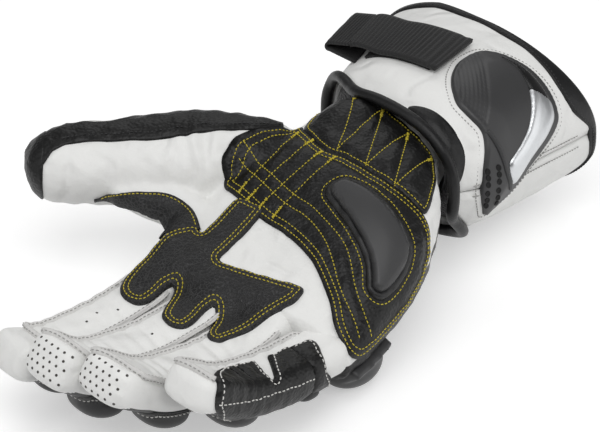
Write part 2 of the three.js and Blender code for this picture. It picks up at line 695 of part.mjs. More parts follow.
// Cuff shell: a palm half and a back half, the lining, the rim binding and the padded roll at the wrist
const gussetFront = CUFF_FRONT + GUSSET_WALL;
const liningFront = WRIST.x + GUSSET_WALL + SEAM_GAP;
const cuffStations = [...CUFF_SECTIONS.map((s) => s.x), gussetFront, liningFront].sort((a, b) => a - b);
const seamTurn = SEAM_GAP / 2 / CUFF.front.up;
part('cuff_palm_panel',
  sector(cuffPlace, cuffStations, turns(seamTurn, Math.PI - seamTurn), -CUFF_WALL, 0),
  'white_leather');
part('cuff_back_panel',
  sector(cuffPlace, cuffStations, turns(Math.PI + seamTurn, 2 * Math.PI - seamTurn), -CUFF_WALL, 0),
  'white_leather');
const cuffLiningOut = CUFF_WALL + SEAM_GAP;
const liningStations = cuffStations.filter((x) => x >= liningFront);
part('cuff_lining',
  pipe(cuffPlace, liningStations, CUFF_SIDES, -cuffLiningOut - LINING_WALL, -cuffLiningOut), 'lining_fabric');
const bindingFrom = CUFF_RIM - BINDING_WIDTH;
part('rim_binding',
  pipe(cuffPlace, [bindingFrom, CUFF_RIM], CUFF_SIDES, SEAM_GAP, SEAM_GAP + BINDING_SKIN), 'black_leather');

const rollCentre = CUFF_FRONT - SEAM_GAP - ROLL_RADIUS;
const ROLL_SIDES = 6;
const rollLoops = roundOf(CUFF_SIDES).map((angle) => {
  const hub = cuffPlace(rollCentre, angle, 0);
  const out = cuffPlace(rollCentre, angle, 1).sub(hub);
  out.x = 0;
  out.normalize();
  hub.addScaledVector(out, ROLL_RADIUS - ROLL_INSET);
  return roundOf(ROLL_SIDES).map((turn) => hub.clone()
    .addScaledVector(out, ROLL_RADIUS * Math.sin(turn))
    .add(new THREE.Vector3(ROLL_RADIUS * Math.cos(turn), 0, 0)));
});
part('wrist_roll', skin(rollLoops, true), 'black_leather');

// Guard on the outer side of the cuff with its bright plate, and the soft panel behind the roll
const GUARD_STATIONS = [114, 164];
const GUARD_TURN = [rad(100), rad(205)];
const guardAlong = stations(...GUARD_STATIONS, spread(...GUARD_STATIONS, 5));
const guardRound = turns(...GUARD_TURN);
const cuffGuardRise = (s, a) => {
  const u = (s - GUARD_STATIONS[0]) / (GUARD_STATIONS[1] - GUARD_STATIONS[0]);
  const v = (a - GUARD_TURN[0]) / (GUARD_TURN[1] - GUARD_TURN[0]);
  return SEAM_GAP + CUFF_GUARD_RISE * (0.5 + 0.5 * Math.sin(Math.PI * u) * Math.sin(Math.PI * v));
};
part('cuff_guard', sector(cuffPlace, guardAlong, guardRound, SEAM_GAP, cuffGuardRise), 'grey_tpu');
const INSERT_STATIONS = [143, 156];
const INSERT_TURN = [rad(128), rad(180)];
const insertLow = SEAM_GAP + CUFF_GUARD_RISE + SEAM_GAP;
part('guard_plate',
  sector(cuffPlace, stations(...INSERT_STATIONS), turns(...INSERT_TURN), insertLow, insertLow + INSERT_RISE),
  'silver_plate');
const SOFT_STATIONS = [105, 112];
const SOFT_TURN = [rad(70), rad(190)];
part('soft_panel',
  sector(cuffPlace, stations(...SOFT_STATIONS), turns(...SOFT_TURN), SEAM_GAP, SEAM_GAP + SOFT_PANEL),
  'black_leather');

// Guard on the back of the cuff, flat where the glove rests on it
const BACK_STATIONS = [122, 178];
const BACK_TURN = [rad(242), rad(316)];
const BACK_GUARD_RISE = 10;
const BACK_GUARD_EDGE = 0.1;
const backGuardRise = (s, a) => {
  const u = (s - BACK_STATIONS[0]) / (BACK_STATIONS[1] - BACK_STATIONS[0]);
  const v = (a - BACK_TURN[0]) / (BACK_TURN[1] - BACK_TURN[0]);
  const swell = Math.sin(Math.PI * u) ** 0.5 * Math.sin(Math.PI * v) ** 0.8;
  return SEAM_GAP + BACK_GUARD_RISE * (BACK_GUARD_EDGE + (1 - BACK_GUARD_EDGE) * swell);
};
const backGuardAlong = stations(...BACK_STATIONS, spread(...BACK_STATIONS, 7));
const backGuard = toSolid(sector(cuffPlace, backGuardAlong, turns(...BACK_TURN), SEAM_GAP, backGuardRise))
  .subtract(floorSolid);
part('cuff_back_guard', toGeometry(backGuard), 'grey_tpu');

// Closing strap: a webbing flap over the palm side of the cuff, its fold at the thumb side and the hook pad
const STRAP_STATIONS = [127, 158];
const STRAP_END = rad(92);
const STRAP_ROOT = rad(48);
const STRAP_LIFT = 2.4;
const HOOK_INSET = 0.1;
const FOLD_END = rad(31);
part('hook_pad',
  sector(cuffPlace, stations(...STRAP_STATIONS), turns(STRAP_ROOT + HOOK_INSET, STRAP_END - HOOK_INSET),
    SEAM_GAP, SEAM_GAP + HOOK_PAD), 'black_webbing');
part('cuff_strap',
  sector(cuffPlace, stations(...STRAP_STATIONS), turns(STRAP_ROOT, STRAP_END),
    STRAP_LIFT, STRAP_LIFT + STRAP_THICK), 'black_webbing');
const FOLD_THICK = 2 * STRAP_THICK;
const FOLD_SLOPE = 0.33;
const FOLD_HOLD = rad(41);
const foldTurn = STRAP_ROOT - (2 * SEAM_GAP + STRAP_THICK) / CUFF.strap.half;
const foldRise = (s, a) => {
  const from = cuffPlace(s, STRAP_ROOT, STRAP_LIFT + STRAP_THICK);
  const [up, out] = [cuffPlace(s, a, 0), cuffPlace(s, a, 1)];
  const height = (p) => p.z + FOLD_SLOPE * p.y;
  return (height(from) - height(up)) / (height(out) - height(up));
};
const foldLow = (s, a) => (a > FOLD_HOLD ? SEAM_GAP : foldRise(s, a) - FOLD_THICK);
part('strap_fold',
  sector(cuffPlace, stations(...STRAP_STATIONS), [FOLD_END, FOLD_HOLD, foldTurn], foldLow, foldRise),
  'black_webbing');
const strapMid = STRAP_LIFT + STRAP_THICK / 2;
const [strapFront, strapBack] = STRAP_STATIONS.map((station) => cuffPlace(station, STRAP_ROOT, strapMid));
hinges.cuff_strap = {
  at: strapFront.clone().add(strapBack).divideScalar(2),
  across: strapFront.clone().sub(strapBack).normalize(),
};

// Stretch gusset: a funnel from the inside of the cuff's front edge to the wrist end of the hand
const gussetOut = -CUFF_WALL - 2 * SEAM_GAP;
const gussetSide = new THREE.Vector3(GUSSET_WALL / 2, 0, 0);
const wristLoop = (side) => handLoop(WRIST, SEAM_GAP, CUFF_SIDES)
  .map((p) => p.clone().addScaledVector(gussetSide, side));
const frontLoop = (side) => roundOf(CUFF_SIDES)
  .map((a) => cuffPlace(gussetFront, a, gussetOut).addScaledVector(gussetSide, side));
part('wrist_gusset', skin([frontLoop(-1), wristLoop(-1), wristLoop(1), frontLoop(1)], true), 'stretch_fabric');

// The origin lies under the middle of the glove, on the surface that it rests on
const box = new THREE.Box3().setFromObject(glove);
glove.position.set(-(box.min.x + box.max.x) / 2, -(box.min.y + box.max.y) / 2, -box.min.z);
glove.userData.hinges = Object.fromEntries(Object.entries(hinges).map(([name, f]) => [name, {
  at: f.at.clone().add(glove.position).toArray(),
  axis: f.across.toArray(),
}]));

export default glove;
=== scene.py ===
import math

import bmesh
import bpy
import numpy as np
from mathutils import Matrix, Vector
from mathutils.bvhtree import BVHTree
from mathutils.geometry import delaunay_2d_cdt


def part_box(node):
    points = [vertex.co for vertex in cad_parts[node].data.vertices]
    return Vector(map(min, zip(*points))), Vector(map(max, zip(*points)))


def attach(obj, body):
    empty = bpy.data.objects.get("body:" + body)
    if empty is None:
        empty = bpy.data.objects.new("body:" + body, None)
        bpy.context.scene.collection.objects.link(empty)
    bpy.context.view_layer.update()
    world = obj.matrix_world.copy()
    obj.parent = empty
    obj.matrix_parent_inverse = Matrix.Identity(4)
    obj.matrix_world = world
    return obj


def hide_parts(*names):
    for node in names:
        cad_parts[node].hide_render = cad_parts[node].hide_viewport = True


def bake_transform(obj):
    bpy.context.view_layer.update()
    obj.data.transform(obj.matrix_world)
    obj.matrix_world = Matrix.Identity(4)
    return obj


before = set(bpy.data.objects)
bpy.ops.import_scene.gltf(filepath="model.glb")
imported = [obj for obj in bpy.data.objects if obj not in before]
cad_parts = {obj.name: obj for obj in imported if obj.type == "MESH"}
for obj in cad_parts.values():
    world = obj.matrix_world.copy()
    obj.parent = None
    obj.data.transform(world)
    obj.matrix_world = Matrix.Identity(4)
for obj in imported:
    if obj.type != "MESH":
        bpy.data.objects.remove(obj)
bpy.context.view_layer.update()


# Viewpoint.
# The glove lies on its back, palm up, seen from above the little finger's side. Its sizes are in
# millimetres from a point under the roots of the fingers, and the rim of the cuff ties them to the frame.
CUFF_RIM = 190.0
RIM_MIDDLE = 4.5
RIM_TOP = 88.5
rim_low, rim_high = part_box("rim_binding")
ROW = np.array([
    1000 * rim_high[0] - CUFF_RIM,
    500 * (rim_low[1] + rim_high[1]) - RIM_MIDDLE,
    1000 * rim_high[2] - RIM_TOP,
])


def row(points):
    """Glove millimetres to frame metres."""
    return (np.asarray(points, float) + ROW) * 0.001


AZIMUTH, ELEVATION = math.radians(-52), math.radians(38)
LENS, SENSOR = 110.0, 36.0
IMAGE = (600, 432)
PIXELS_PER_MM = 2.35
MIDDLE_PIXEL = (247, 368)
away = Vector((
    math.sin(AZIMUTH) * math.cos(ELEVATION),
    -math.cos(AZIMUTH) * math.cos(ELEVATION),
    math.sin(ELEVATION),
))
camera = bpy.data.objects.new("camera", bpy.data.cameras.new("camera"))
camera.data.lens = LENS
camera.data.sensor_width = SENSOR
camera.data.shift_x = (IMAGE[0] / 2 - MIDDLE_PIXEL[0]) / IMAGE[0]
camera.data.shift_y = (MIDDLE_PIXEL[1] - IMAGE[1] / 2) / IMAGE[0]
camera.location = Vector(row((0, 0, 0))) + away * (0.001 * LENS / SENSOR * IMAGE[0] / PIXELS_PER_MM)
camera.rotation_euler = away.to_track_quat("Z", "Y").to_euler()
bpy.context.scene.collection.objects.link(camera)
bpy.context.scene.camera = camera


# Hand and thumb.
# Palm piece and back piece of soft full-grain cowhide, white on the palm and black on the back. They are
# sewn inside out along the sides and turned. The palm lies in a shallow hollow, and the thumb root in folds.
HAND_SQUARE, DIGIT_SQUARE = 2.7, 2.3
ROW_CENTRE, HAND_FRONT = -3.0, -6.0
HAND = np.array([
    # x, y, z, half width, up, down, tilt, shear
    (112, 4, 53, 28, 20, 20, 0, 0),
    (97, 2, 52, 30.5, 22, 22, 0, 0),
    (80, 0, 49, 41, 25, 24, 0.02, 0),
    (50, -2, 42, 50, 25, 22, 0.04, 0),
    (15, ROW_CENTRE, 33, 51, 20, 16, 0.06, -0.06),
    (HAND_FRONT, ROW_CENTRE, 29.8, 50.4, 15.5, 14.5, 0.065, -0.12),
], float)


def power(value, exponent):
    return np.sign(value) * np.abs(value) ** exponent


def eased(t):
    """Smooth step from 0 to 1."""
    t = np.clip(t, 0, 1)
    return t * t * (3 - 2 * t)


def through(rows, count):
    """A smooth run of rows through the given ones."""
    t = np.linspace(0, len(rows) - 1, count)
    k = np.clip(t.astype(int), 0, len(rows) - 2)
    u = (t - k)[:, None]
    padded = np.vstack([2 * rows[0] - rows[1], rows, 2 * rows[-1] - rows[-2]])
    p0, p1, p2, p3 = (padded[k + i] for i in range(4))
    return 0.5 * (2 * p1 + (p2 - p0) * u + (2 * p0 - 5 * p1 + 4 * p2 - p3) * u ** 2
                  + (3 * p1 - p0 - 3 * p2 + p3) * u ** 3)


HAND_RUN = through(HAND, 120)[::-1]


def hand_at(x):
    return np.stack([np.interp(x, HAND_RUN[:, 0], HAND_RUN[:, i]) for i in range(8)], -1)


def hand_point(x, angle, off=0.0):
    """Point on the plain form of the hand: angle 0 at the thumb side, 90 degrees at the palm."""
    v = hand_at(np.asarray(x, float))
    y = (v[..., 3] + off) * power(np.cos(angle), 2 / HAND_SQUARE)
    rise = power(np.sin(angle), 2 / HAND_SQUARE)
    z = rise * (off + np.where(rise > 0, v[..., 4], v[..., 5]))
    return np.stack([x + v[..., 7] * y, v[..., 1] + y, v[..., 2] + z + v[..., 6] * y], -1)


class Digit:
    """A finger or the thumb: its centre line bends in one upright plane at the middle and end joints."""

    BEND, STEP, BEHIND, BEYOND = 9.0, 0.25, 60.0, 20.0

    def __init__(self, root, half, thick, lengths, yaw, pitches, roll, dome, blunt):
        self.half, self.thick, self.blunt = half, thick, blunt
        self.reach, self.length, self.dome = lengths[0], sum(lengths), dome
        self.joints = (lengths[0], lengths[0] + lengths[1])
        self.pitches, self.roll = np.radians(pitches), math.radians(roll)
        yaw = math.radians(yaw)
        self.heading = np.array([-math.cos(yaw), math.sin(yaw), 0.0])
        self.run = np.arange(-self.BEHIND, self.length + self.BEYOND, self.STEP)
        ahead = self.ahead(self.run)
        steps = np.vstack([np.zeros(3), np.cumsum((ahead[1:] + ahead[:-1]) / 2 * self.STEP, 0)])
        self.line = steps - steps[np.argmin(abs(self.run))] + np.array(root, float)

    def pitch(self, s):
        turns = [np.clip((s - j + self.BEND) / (2 * self.BEND), 0, 1) for j in self.joints]
        p = self.pitches
        return p[0] + (p[1] - p[0]) * turns[0] + (p[2] - p[1]) * turns[1]

    def ahead(self, s):
        p = self.pitch(s)
        return np.cos(p)[..., None] * self.heading + np.sin(p)[..., None] * np.array([0, 0, 1.0])

    def frame(self, s):
        """Centre, direction along, direction across and direction of the palm face at s."""
        s = np.asarray(s, float)
        at = np.stack([np.interp(s, self.run, self.line[:, i]) for i in range(3)], -1)
        along, p = self.ahead(s), self.pitch(s)
        palm = -np.sin(p)[..., None] * self.heading + np.cos(p)[..., None] * np.array([0, 0, 1.0])
        side = np.cross(along, palm)
        across = side * math.cos(self.roll) + palm * math.sin(self.roll)
        face = palm * math.cos(self.roll) - side * math.sin(self.roll)
        return at, along, across, face

    def place(self, s, angle, off=0.0, rise=0.0, square=DIGIT_SQUARE):
        """Point of the skin; rise lifts the palm half, and past the length the end closes."""
        s, angle = np.broadcast_arrays(np.asarray(s, float), np.asarray(angle, float))
        share = np.clip(s / self.length, 0, 1)
        close = np.clip((s - self.length + self.dome) / (self.dome + off), 0, 1)
        shrink = (1 - close ** self.blunt) ** (1 / self.blunt)
        wide = (self.half[0] + (self.half[1] - self.half[0]) * share + off) * shrink
        high = (self.thick[0] + (self.thick[1] - self.thick[0]) * share + off) * shrink
        at, _, across, face = self.frame(s)
        up = power(np.sin(angle), 2 / square)
        high = np.where(up > 0, high + rise, high)
        return (at + (wide * power(np.cos(angle), 2 / square))[..., None] * across
                + (high * up)[..., None] * face)


THUMB_SINK, THUMB_REACH, THUMB_SPLIT = 39.0, 26.0, 24.0
THUMB_ROOT = np.array([45.4, 60.2, 59.5])
THUMB_TOP = np.array([0.485, 0.379, 0.788])
thumb = Digit(THUMB_ROOT, half=(20, 16.5), thick=(17.5, 14.5), lengths=(46, 16, 14.5),
              yaw=50, pitches=(-2, 2, 4), roll=30, dome=15, blunt=2.4)


def skin(loops, closed_start=True, closed_end=True):
    """Points and faces of a skin through loops of equal count, with its ends closed by a fan."""
    loops = np.asarray(loops, float)
    m, n = loops.shape[:2]
    k = np.arange(n)
    faces = [
        np.stack([i * n + k, i * n + (k + 1) % n, (i + 1) * n + (k + 1) % n, (i + 1) * n + k], 1)
        for i in range(m - 1)
    ]
    faces = [tuple(f) for f in np.concatenate(faces).tolist()]
    points = loops.reshape(-1, 3)
    if closed_start:
        points = np.vstack([points, loops[0].mean(0)])
        faces += [((i + 1) % n, i, len(points) - 1) for i in range(n)]
    if closed_end:
        last = (m - 1) * n
        points = np.vstack([points, loops[-1].mean(0)])
        faces += [(last + i, last + (i + 1) % n, len(points) - 1) for i in range(n)]
    return points, faces


def joined(*skins):
    """Several skins as one list of points and faces."""
    points, faces, start = [], [], 0
    for p, f in skins:
        points.append(p)
        faces += [tuple(i + start for i in face) for face in f]
        start += len(p)
    return np.vstack(points), faces


def piece(name, points, faces, *finishes, finish_of=None, normals=None):
    """A smooth mesh of the glove in the frame, with its finishes and which finish each face has."""
    mesh = bpy.data.meshes.new(name)
    mesh.from_pydata(row(points).tolist(), [], faces)
    for finish in finishes:
        mesh.materials.append(finish)
    mesh.polygons.foreach_set("use_smooth", [True] * len(faces))
    if finish_of is not None:
        mesh.polygons.foreach_set("material_index", list(finish_of))
    if normals is None:
        work = bmesh.new()
        work.from_mesh(mesh)
        bmesh.ops.recalc_face_normals(work, faces=work.faces)
        work.to_mesh(mesh)
        work.free()
    mesh.update()
    if normals is not None:
        mesh.normals_split_custom_set_from_vertices(normals.tolist())
    obj = bpy.data.objects.new(name, mesh)
    bpy.context.scene.collection.objects.link(obj)
    return obj


def melted(name, skins, voxel, rounds):
    """Skins that run into each other, remeshed as one closed skin and smoothed: its points and faces."""
    core = piece(name, *joined(*skins))
    close = core.modifiers.new("close", "REMESH")
    close.mode = "VOXEL"
    close.voxel_size = voxel
    soften = core.modifiers.new("soften", "SMOOTH")
    soften.iterations = rounds
    closed = bpy.data.meshes.new_from_object(core.evaluated_get(bpy.context.evaluated_depsgraph_get()))
    bpy.data.objects.remove(core)
    co = np.empty(len(closed.vertices) * 3)
    closed.vertices.foreach_get("co", co)
    faces = [tuple(p.vertices) for p in closed.polygons]
    bpy.data.meshes.remove(closed)
    return co.reshape(-1, 3) * 1000 - ROW, faces


def mesh_normals(points, faces):
    """Vertex normals of a skin of quads or triangles."""
    normals = np.zeros_like(points)
    for sides in {len(f) for f in faces}:
        f = np.array([g for g in faces if len(g) == sides])
        first, middle, last = points[f[:, 0]], points[f[:, 2]], points[f[:, 1] if sides == 3 else f[:, 3]]
        n = np.cross(middle - first, last - first)
        n = -n if sides == 3 else n
        for k in range(sides):
            np.add.at(normals, f[:, k], n)
    return normals / np.maximum(np.linalg.norm(normals, axis=1, keepdims=True), 1e-12)


def folds(points, size, seed, waves=7):
    """Smooth unevenness of about the given size in millimetres, about -1 to 1."""
    rng = np.random.default_rng(seed)
    total = np.zeros(len(points))
    for _ in range(waves):
        wave = rng.normal(size=3)
        wave *= 2 * math.pi / size / np.linalg.norm(wave) * rng.uniform(0.7, 1.5)
        total += np.sin(points @ wave + rng.uniform(0, 2 * math.pi))
    return total / waves * 1.6


def along_thumb(points):
    """Way along the thumb from its root, and which points lie near its line."""
    off = points - THUMB_ROOT
    s = off @ thumb.heading
    return s, np.linalg.norm(off - s[:, None] * thumb.heading, axis=1) < THUMB_REACH


def swelling(points, x, y, long, wide):
    """A soft bump seen from the palm: 1 at its middle, fading over its length and its width."""
    return np.exp(-((points[:, 0] - x) / long) ** 2 - ((points[:, 1] - y) / wide) ** 2)


def touch_tree(points, faces):
    """A search tree that finds where a line meets a skin."""
    return BVHTree.FromPolygons(points.tolist(), faces)


ROUND = np.radians(np.arange(0, 360, 6.0))
FRONT_REACH = 2.5
ROOT_HALF, ROOT_THICK = 10.0, 7.0
hand_loops = []
for x in np.concatenate([np.arange(110, HAND_FRONT, -2.0), [HAND_FRONT, HAND_FRONT - FRONT_REACH]]):
    loop = hand_point(np.full(len(ROUND), max(x, HAND_FRONT)), ROUND)
    loop[:, 0] += min(0.0, x - HAND_FRONT)
    hand_loops.append(loop)
thumb_loops = []
for s in np.arange(-THUMB_SINK, 0, 3.0):
    swell = math.sqrt(1 + s / THUMB_SINK)
    at, _, across, face = thumb.frame(s)
    wide = ROOT_HALF + (thumb.half[0] - ROOT_HALF) * swell
    high = ROOT_THICK + (thumb.thick[0] - ROOT_THICK) * swell
    thumb_loops.append(at + wide * power(np.cos(ROUND), 2 / DIGIT_SQUARE)[:, None] * across
                       + high * power(np.sin(ROUND), 2 / DIGIT_SQUARE)[:, None] * face)
dome_from = thumb.length - thumb.dome
dome_run = dome_from + thumb.dome * np.sin(np.radians(np.arange(0, 90, 7.5)))
for s in np.concatenate([np.arange(0, dome_from, 3.0), dome_run]):
    thumb_loops.append(thumb.place(s, ROUND))

# the web between the thumb and the first finger, as a swelling along its edge
WEB = through(np.array([
    # x, y, z, radius
    (-8, 38, 38, 5), (2, 41, 42, 7), (19, 43, 45, 8.5), (23, 50, 47, 9), (17, 62, 50, 8), (8, 78, 53, 5),
], float), 24)
web_loops = []
for k, (x, y, z, radius) in enumerate(WEB):
    along = WEB[min(k + 1, len(WEB) - 1), :3] - WEB[max(k - 1, 0), :3]
    along /= np.linalg.norm(along)
    side = np.cross(along, (0, 0, 1.0))
    side /= np.linalg.norm(side)
    over = np.cross(side, along)
    ring = np.cos(ROUND)[:, None] * side + np.sin(ROUND)[:, None] * over
    web_loops.append(np.array([x, y, z]) + radius * ring)

VOXEL, SOFTEN = 0.0014, 14
leather, leather_faces = melted(
    "hand_core", (skin(hand_loops), skin(thumb_loops), skin(web_loops)), VOXEL, SOFTEN)
normals = mesh_normals(leather, leather_faces)
outward = np.sign(((leather - leather.mean(0)) * normals).sum())
normals *= outward
if outward < 0:
    leather_faces = [f[::-1] for f in leather_faces]

# the hollow of the palm, the drawn thumb root, the ball of the wrist and a little unevenness everywhere
HOLLOW_DEPTH, BALL_HEIGHT, CREASE_HEIGHT, CREASE_PITCH, THUMB_SLOPE = 2.6, 6.0, 0.9, 4.6, 5.0
PALM_HOLLOW, WRIST_BALL = (16, 4, 20, 24), (96, 18, 11, 14)  # x, y, length, width
thumb_s, on_thumb = along_thumb(leather)
hollow = swelling(leather, *PALM_HOLLOW) * (normals[:, 2] > 0.3)
ball = swelling(leather, *WRIST_BALL) * (normals[:, 2] > 0)
drawn = np.exp(-((thumb_s - 3) / 14) ** 2) * on_thumb
crease = np.sin(thumb_s / CREASE_PITCH * math.pi + 1.6 * folds(leather, 26, 3)) * folds(leather, 21, 4)
lift = (0.35 - HOLLOW_DEPTH * hollow + CREASE_HEIGHT * drawn * crease
        + 0.36 * folds(leather, 13, 5) + 0.2 * folds(leather, 6, 6))
leather = leather + normals * lift[:, None] + BALL_HEIGHT * ball[:, None] * np.array([0, 0, 1.0])
# the back of the thumb slopes off toward its end
slope = THUMB_SLOPE * eased((thumb_s - 50) / 26) * on_thumb * np.clip(normals @ THUMB_TOP, 0, 1)
leather -= slope[:, None] * THUMB_TOP
normals = mesh_normals(leather, leather_faces)
normals *= np.sign((normals * (leather - leather.mean(0))).sum())
leather_tree = touch_tree(leather, leather_faces)


def linear(hex_colour):
    """sRGB hex to linear RGBA."""
    parts = [int(hex_colour[i:i + 2], 16) / 255 for i in (1, 3, 5)]
    return [c / 12.92 if c <= 0.04045 else ((c + 0.055) / 1.055) ** 2.4 for c in parts] + [1.0]


def node(tree, kind, inputs=None, **settings):
    """One shader node with its settings; inputs are values, or the sockets that feed them."""
    made = tree.nodes.new(kind)
    for name, value in settings.items():
        setattr(made, name, value)
    for name, value in (inputs or {}).items():
        if isinstance(value, bpy.types.NodeSocket):
            tree.links.new(value, made.inputs[name])
        else:
            made.inputs[name].default_value = value
    return made


def every(size):
    """Scale of a pattern with cells of a size in millimetres; a wave has two or three bands in each."""
    return 1000 / size


def finish(name, dark, light, values):
    """A material between two tones, with values for its surface: the material, its node tree, its surface,
    the socket that chooses the tone and the place of a point on the piece."""
    made = bpy.data.materials.new(name)
    made.use_nodes = True
    tree = made.node_tree
    surface = tree.nodes["Principled BSDF"]
    for socket, value in values.items():
        surface.inputs[socket].default_value = value
    tone = node(tree, "ShaderNodeMix", {6: linear(dark), 7: linear(light)}, data_type="RGBA")
    tree.links.new(tone.outputs[2], surface.inputs["Base Color"])
    return made, tree, surface, tone.inputs["Factor"], node(tree, "ShaderNodeTexCoord").outputs["Object"]


# White pigmented cowhide: an even satin white with fine creases a centimetre or so apart, and a grain of
# about 0.5 mm that is drawn at 0.9 mm so that it shows.
white_leather, tree, surface, tone, where = finish(
    "white_full_grain_cowhide", "#ebebe9", "#f3f3f1", {"Roughness": 0.52, "IOR": 1.5})
grain = node(tree, "ShaderNodeTexVoronoi", {"Vector": where, "Scale": every(0.9)}, feature="SMOOTH_F1")
soft = node(tree, "ShaderNodeTexNoise", {
    "Vector": where, "Scale": every(7), "Detail": 4.0, "Roughness": 0.6,
})
cloud = node(tree, "ShaderNodeTexNoise", {"Vector": where, "Scale": every(30), "Detail": 3.0})
ridges = node(tree, "ShaderNodeTexNoise", {
    "Vector": where, "Scale": every(14), "Detail": 3.0, "Roughness": 0.45, "Distortion": 0.6,
}, noise_type="RIDGED_MULTIFRACTAL")
tree.links.new(cloud.outputs["Fac"], tone)
grain_bump = node(tree, "ShaderNodeBump", {
    "Height": grain.outputs["Distance"], "Strength": 0.22, "Distance": 0.0003,
})
soft_bump = node(tree, "ShaderNodeBump", {
    "Height": soft.outputs["Fac"], "Strength": 0.35, "Distance": 0.0012,
    "Normal": grain_bump.outputs["Normal"],
})
crease_bump = node(tree, "ShaderNodeBump", {
    "Height": ridges.outputs["Fac"], "Strength": 0.85, "Distance": 0.0024,
    "Normal": soft_bump.outputs["Normal"],
}, invert=True)
tree.links.new(crease_bump.outputs["Normal"], surface.inputs["Normal"])

# Black drum-dyed cowhide: near black with a soft sheen, a little lighter in places. It is pebbled at
# about 1 mm, drawn at 1.3 mm so that it shows. The open pores take part of the mirror light away.
black_leather, tree, surface, tone, where = finish(
    "black_drum_dyed_cowhide", "#080808", "#121212",
    {"Roughness": 0.43, "Specular IOR Level": 0.34, "IOR": 1.5})
pebble = node(tree, "ShaderNodeTexVoronoi", {"Vector": where, "Scale": every(1.3)}, feature="SMOOTH_F1")
soft = node(tree, "ShaderNodeTexNoise", {
    "Vector": where, "Scale": every(5), "Detail": 4.0, "Roughness": 0.6,
})
tree.links.new(soft.outputs["Fac"], tone)
pebble_bump = node(tree, "ShaderNodeBump", {
    "Height": pebble.outputs["Distance"], "Strength": 0.6, "Distance": 0.0005,
}, invert=True)
soft_bump = node(tree, "ShaderNodeBump", {
    "Height": soft.outputs["Fac"], "Strength": 0.15, "Distance": 0.0008,
    "Normal": pebble_bump.outputs["Normal"],
})
tree.links.new(soft_bump.outputs["Normal"], surface.inputs["Normal"])

SEAM_STEP, SEAM_DROP = 43.0, 30.0
HAND_END = 108.5


def above_seam(points):
    """Height over the seam between palm and back, which drops round the root of the thumb."""
    section = hand_at(points[:, 0])
    level = section[:, 2] + section[:, 6] * (points[:, 1] - section[:, 1])
    return points[:, 2] - level + SEAM_DROP * eased((points[:, 1] - SEAM_STEP + 5) / 10)


def part_of(points, faces, chosen, point_normals):
    """The points, faces and normals that the chosen faces use."""
    picked = [faces[i] for i in np.flatnonzero(chosen)]
    used = np.unique(np.concatenate([np.array(f) for f in picked]))
    place = {v: i for i, v in enumerate(used.tolist())}
    return points[used], [tuple(place[v] for v in f) for f in picked], point_normals[used]


def blend_thumb(made, part):
    """Bakes the placing of a piece of the thumb's stall or of its tip into its mesh; the points at its base
    and at the middle joint are worked out but not used.
    """
    if part == "stall":
        row(thumb.frame(1.0)[0])
        row(thumb.frame(15.0)[0])
        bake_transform(made)
    else:
        row(thumb.frame(37.0)[0])
        row(thumb.frame(55.0)[0])
        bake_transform(made)


# each face goes to the palm, the back or one of the two lengths of the thumb
middles = np.array([leather[list(f)].mean(0) for f in leather_faces])
middle_s, near_thumb = along_thumb(middles)
of_thumb = np.where(middle_s > THUMB_SPLIT, 3, 2)
of_hand = np.where(above_seam(middles) > 0, 0, 1)
kinds = np.where(near_thumb & (middle_s > 0.3), of_thumb, of_hand)
# points on the seam are drawn onto its line, so that the edge is not toothed
on_palm, on_back = (
    np.isin(np.arange(len(leather)), [v for f, k in zip(leather_faces, kinds) if k == kind for v in f])
    for kind in (0, 1)
)
leather[:, 2] -= np.where(on_palm & on_back, np.clip(above_seam(leather), -1.0, 1.0), 0.0)
for kind, (name, look, nodes) in enumerate((
        ("palm_leather", white_leather, ("palm_leather",)),
        ("back_leather", black_leather, ("back_leather",)),
        ("thumb_stall_leather", white_leather, ("thumb_base_bend", "thumb_stall")),
        ("thumb_tip_leather", white_leather, ("thumb_middle_bend", "thumb_tip")))):
    p, f, n = part_of(leather, leather_faces, (kinds == kind) & (middles[:, 0] < HAND_END), normals)
    made = piece(name, p, f, look, normals=n)
    if kind < 2:
        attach(made, "hand")
    else:
        blend_thumb(made, "stall" if kind == 2 else "tip")
    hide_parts(*nodes)


# Fingers.
# Four finger stalls of the same white cowhide with a black back, each closed at the tip by a rounded cap.
# They are cut pre-curved, so that the palm face lies in wrinkles at the joints.
FINGER_GAP, SEAM_GAP, FINGER_FLEX, MIDDLE_FLEX = 1.4, 0.3, 12.0, 9.0
FINGERS = {
    # half widths, half thicknesses, lift of the centre line, lengths, yaw, pitches
    "index": ((12, 12), (10.8, 8.8), -1.8, (33, 29, 24), 8.5, (-4.5, 5, 27)),
    "middle": ((12.3, 12.6), (11, 9.6), -1.4, (40, 30, 27.5), 7.5, (0, 14, 40)),
    "ring": ((12.2, 12.7), (10.6, 8.4), -0.9, (37, 29, 34.5), 7, (2, 15, 37)),
    "little": ((11.4, 11.6), (8.6, 7.7), 2.6, (30, 26, 30.5), 6, (6.5, 16, 34)),
}
FINGER_DOME, FINGER_BLUNT, FINGER_SPLIT, CAP_LENGTH = 8.5, 3.0, 17.0, 6.0
row_edge = ROW_CENTRE + (sum(2 * f[0][0] for f in FINGERS.values()) + 3 * FINGER_GAP) / 2
root = HAND[-1]
fingers, finger_rise = {}, {}
for name, (half, thick, lift, lengths, yaw, pitches) in FINGERS.items():
    y = row_edge - half[0]
    row_edge -= 2 * half[0] + FINGER_GAP
    level = root[2] + root[6] * (y - root[1])
    start = (root[0] + root[7] * (y - root[1]) - SEAM_GAP, y, level + lift)
    fingers[name] = Digit(start, half, thick, lengths, yaw, pitches, 0, FINGER_DOME, FINGER_BLUNT)
    top = root[4] * (1 - (abs(y - root[1]) / root[3]) ** HAND_SQUARE) ** (1 / HAND_SQUARE)
    finger_rise[name] = max(0.0, top - lift - thick[0] - 0.3)

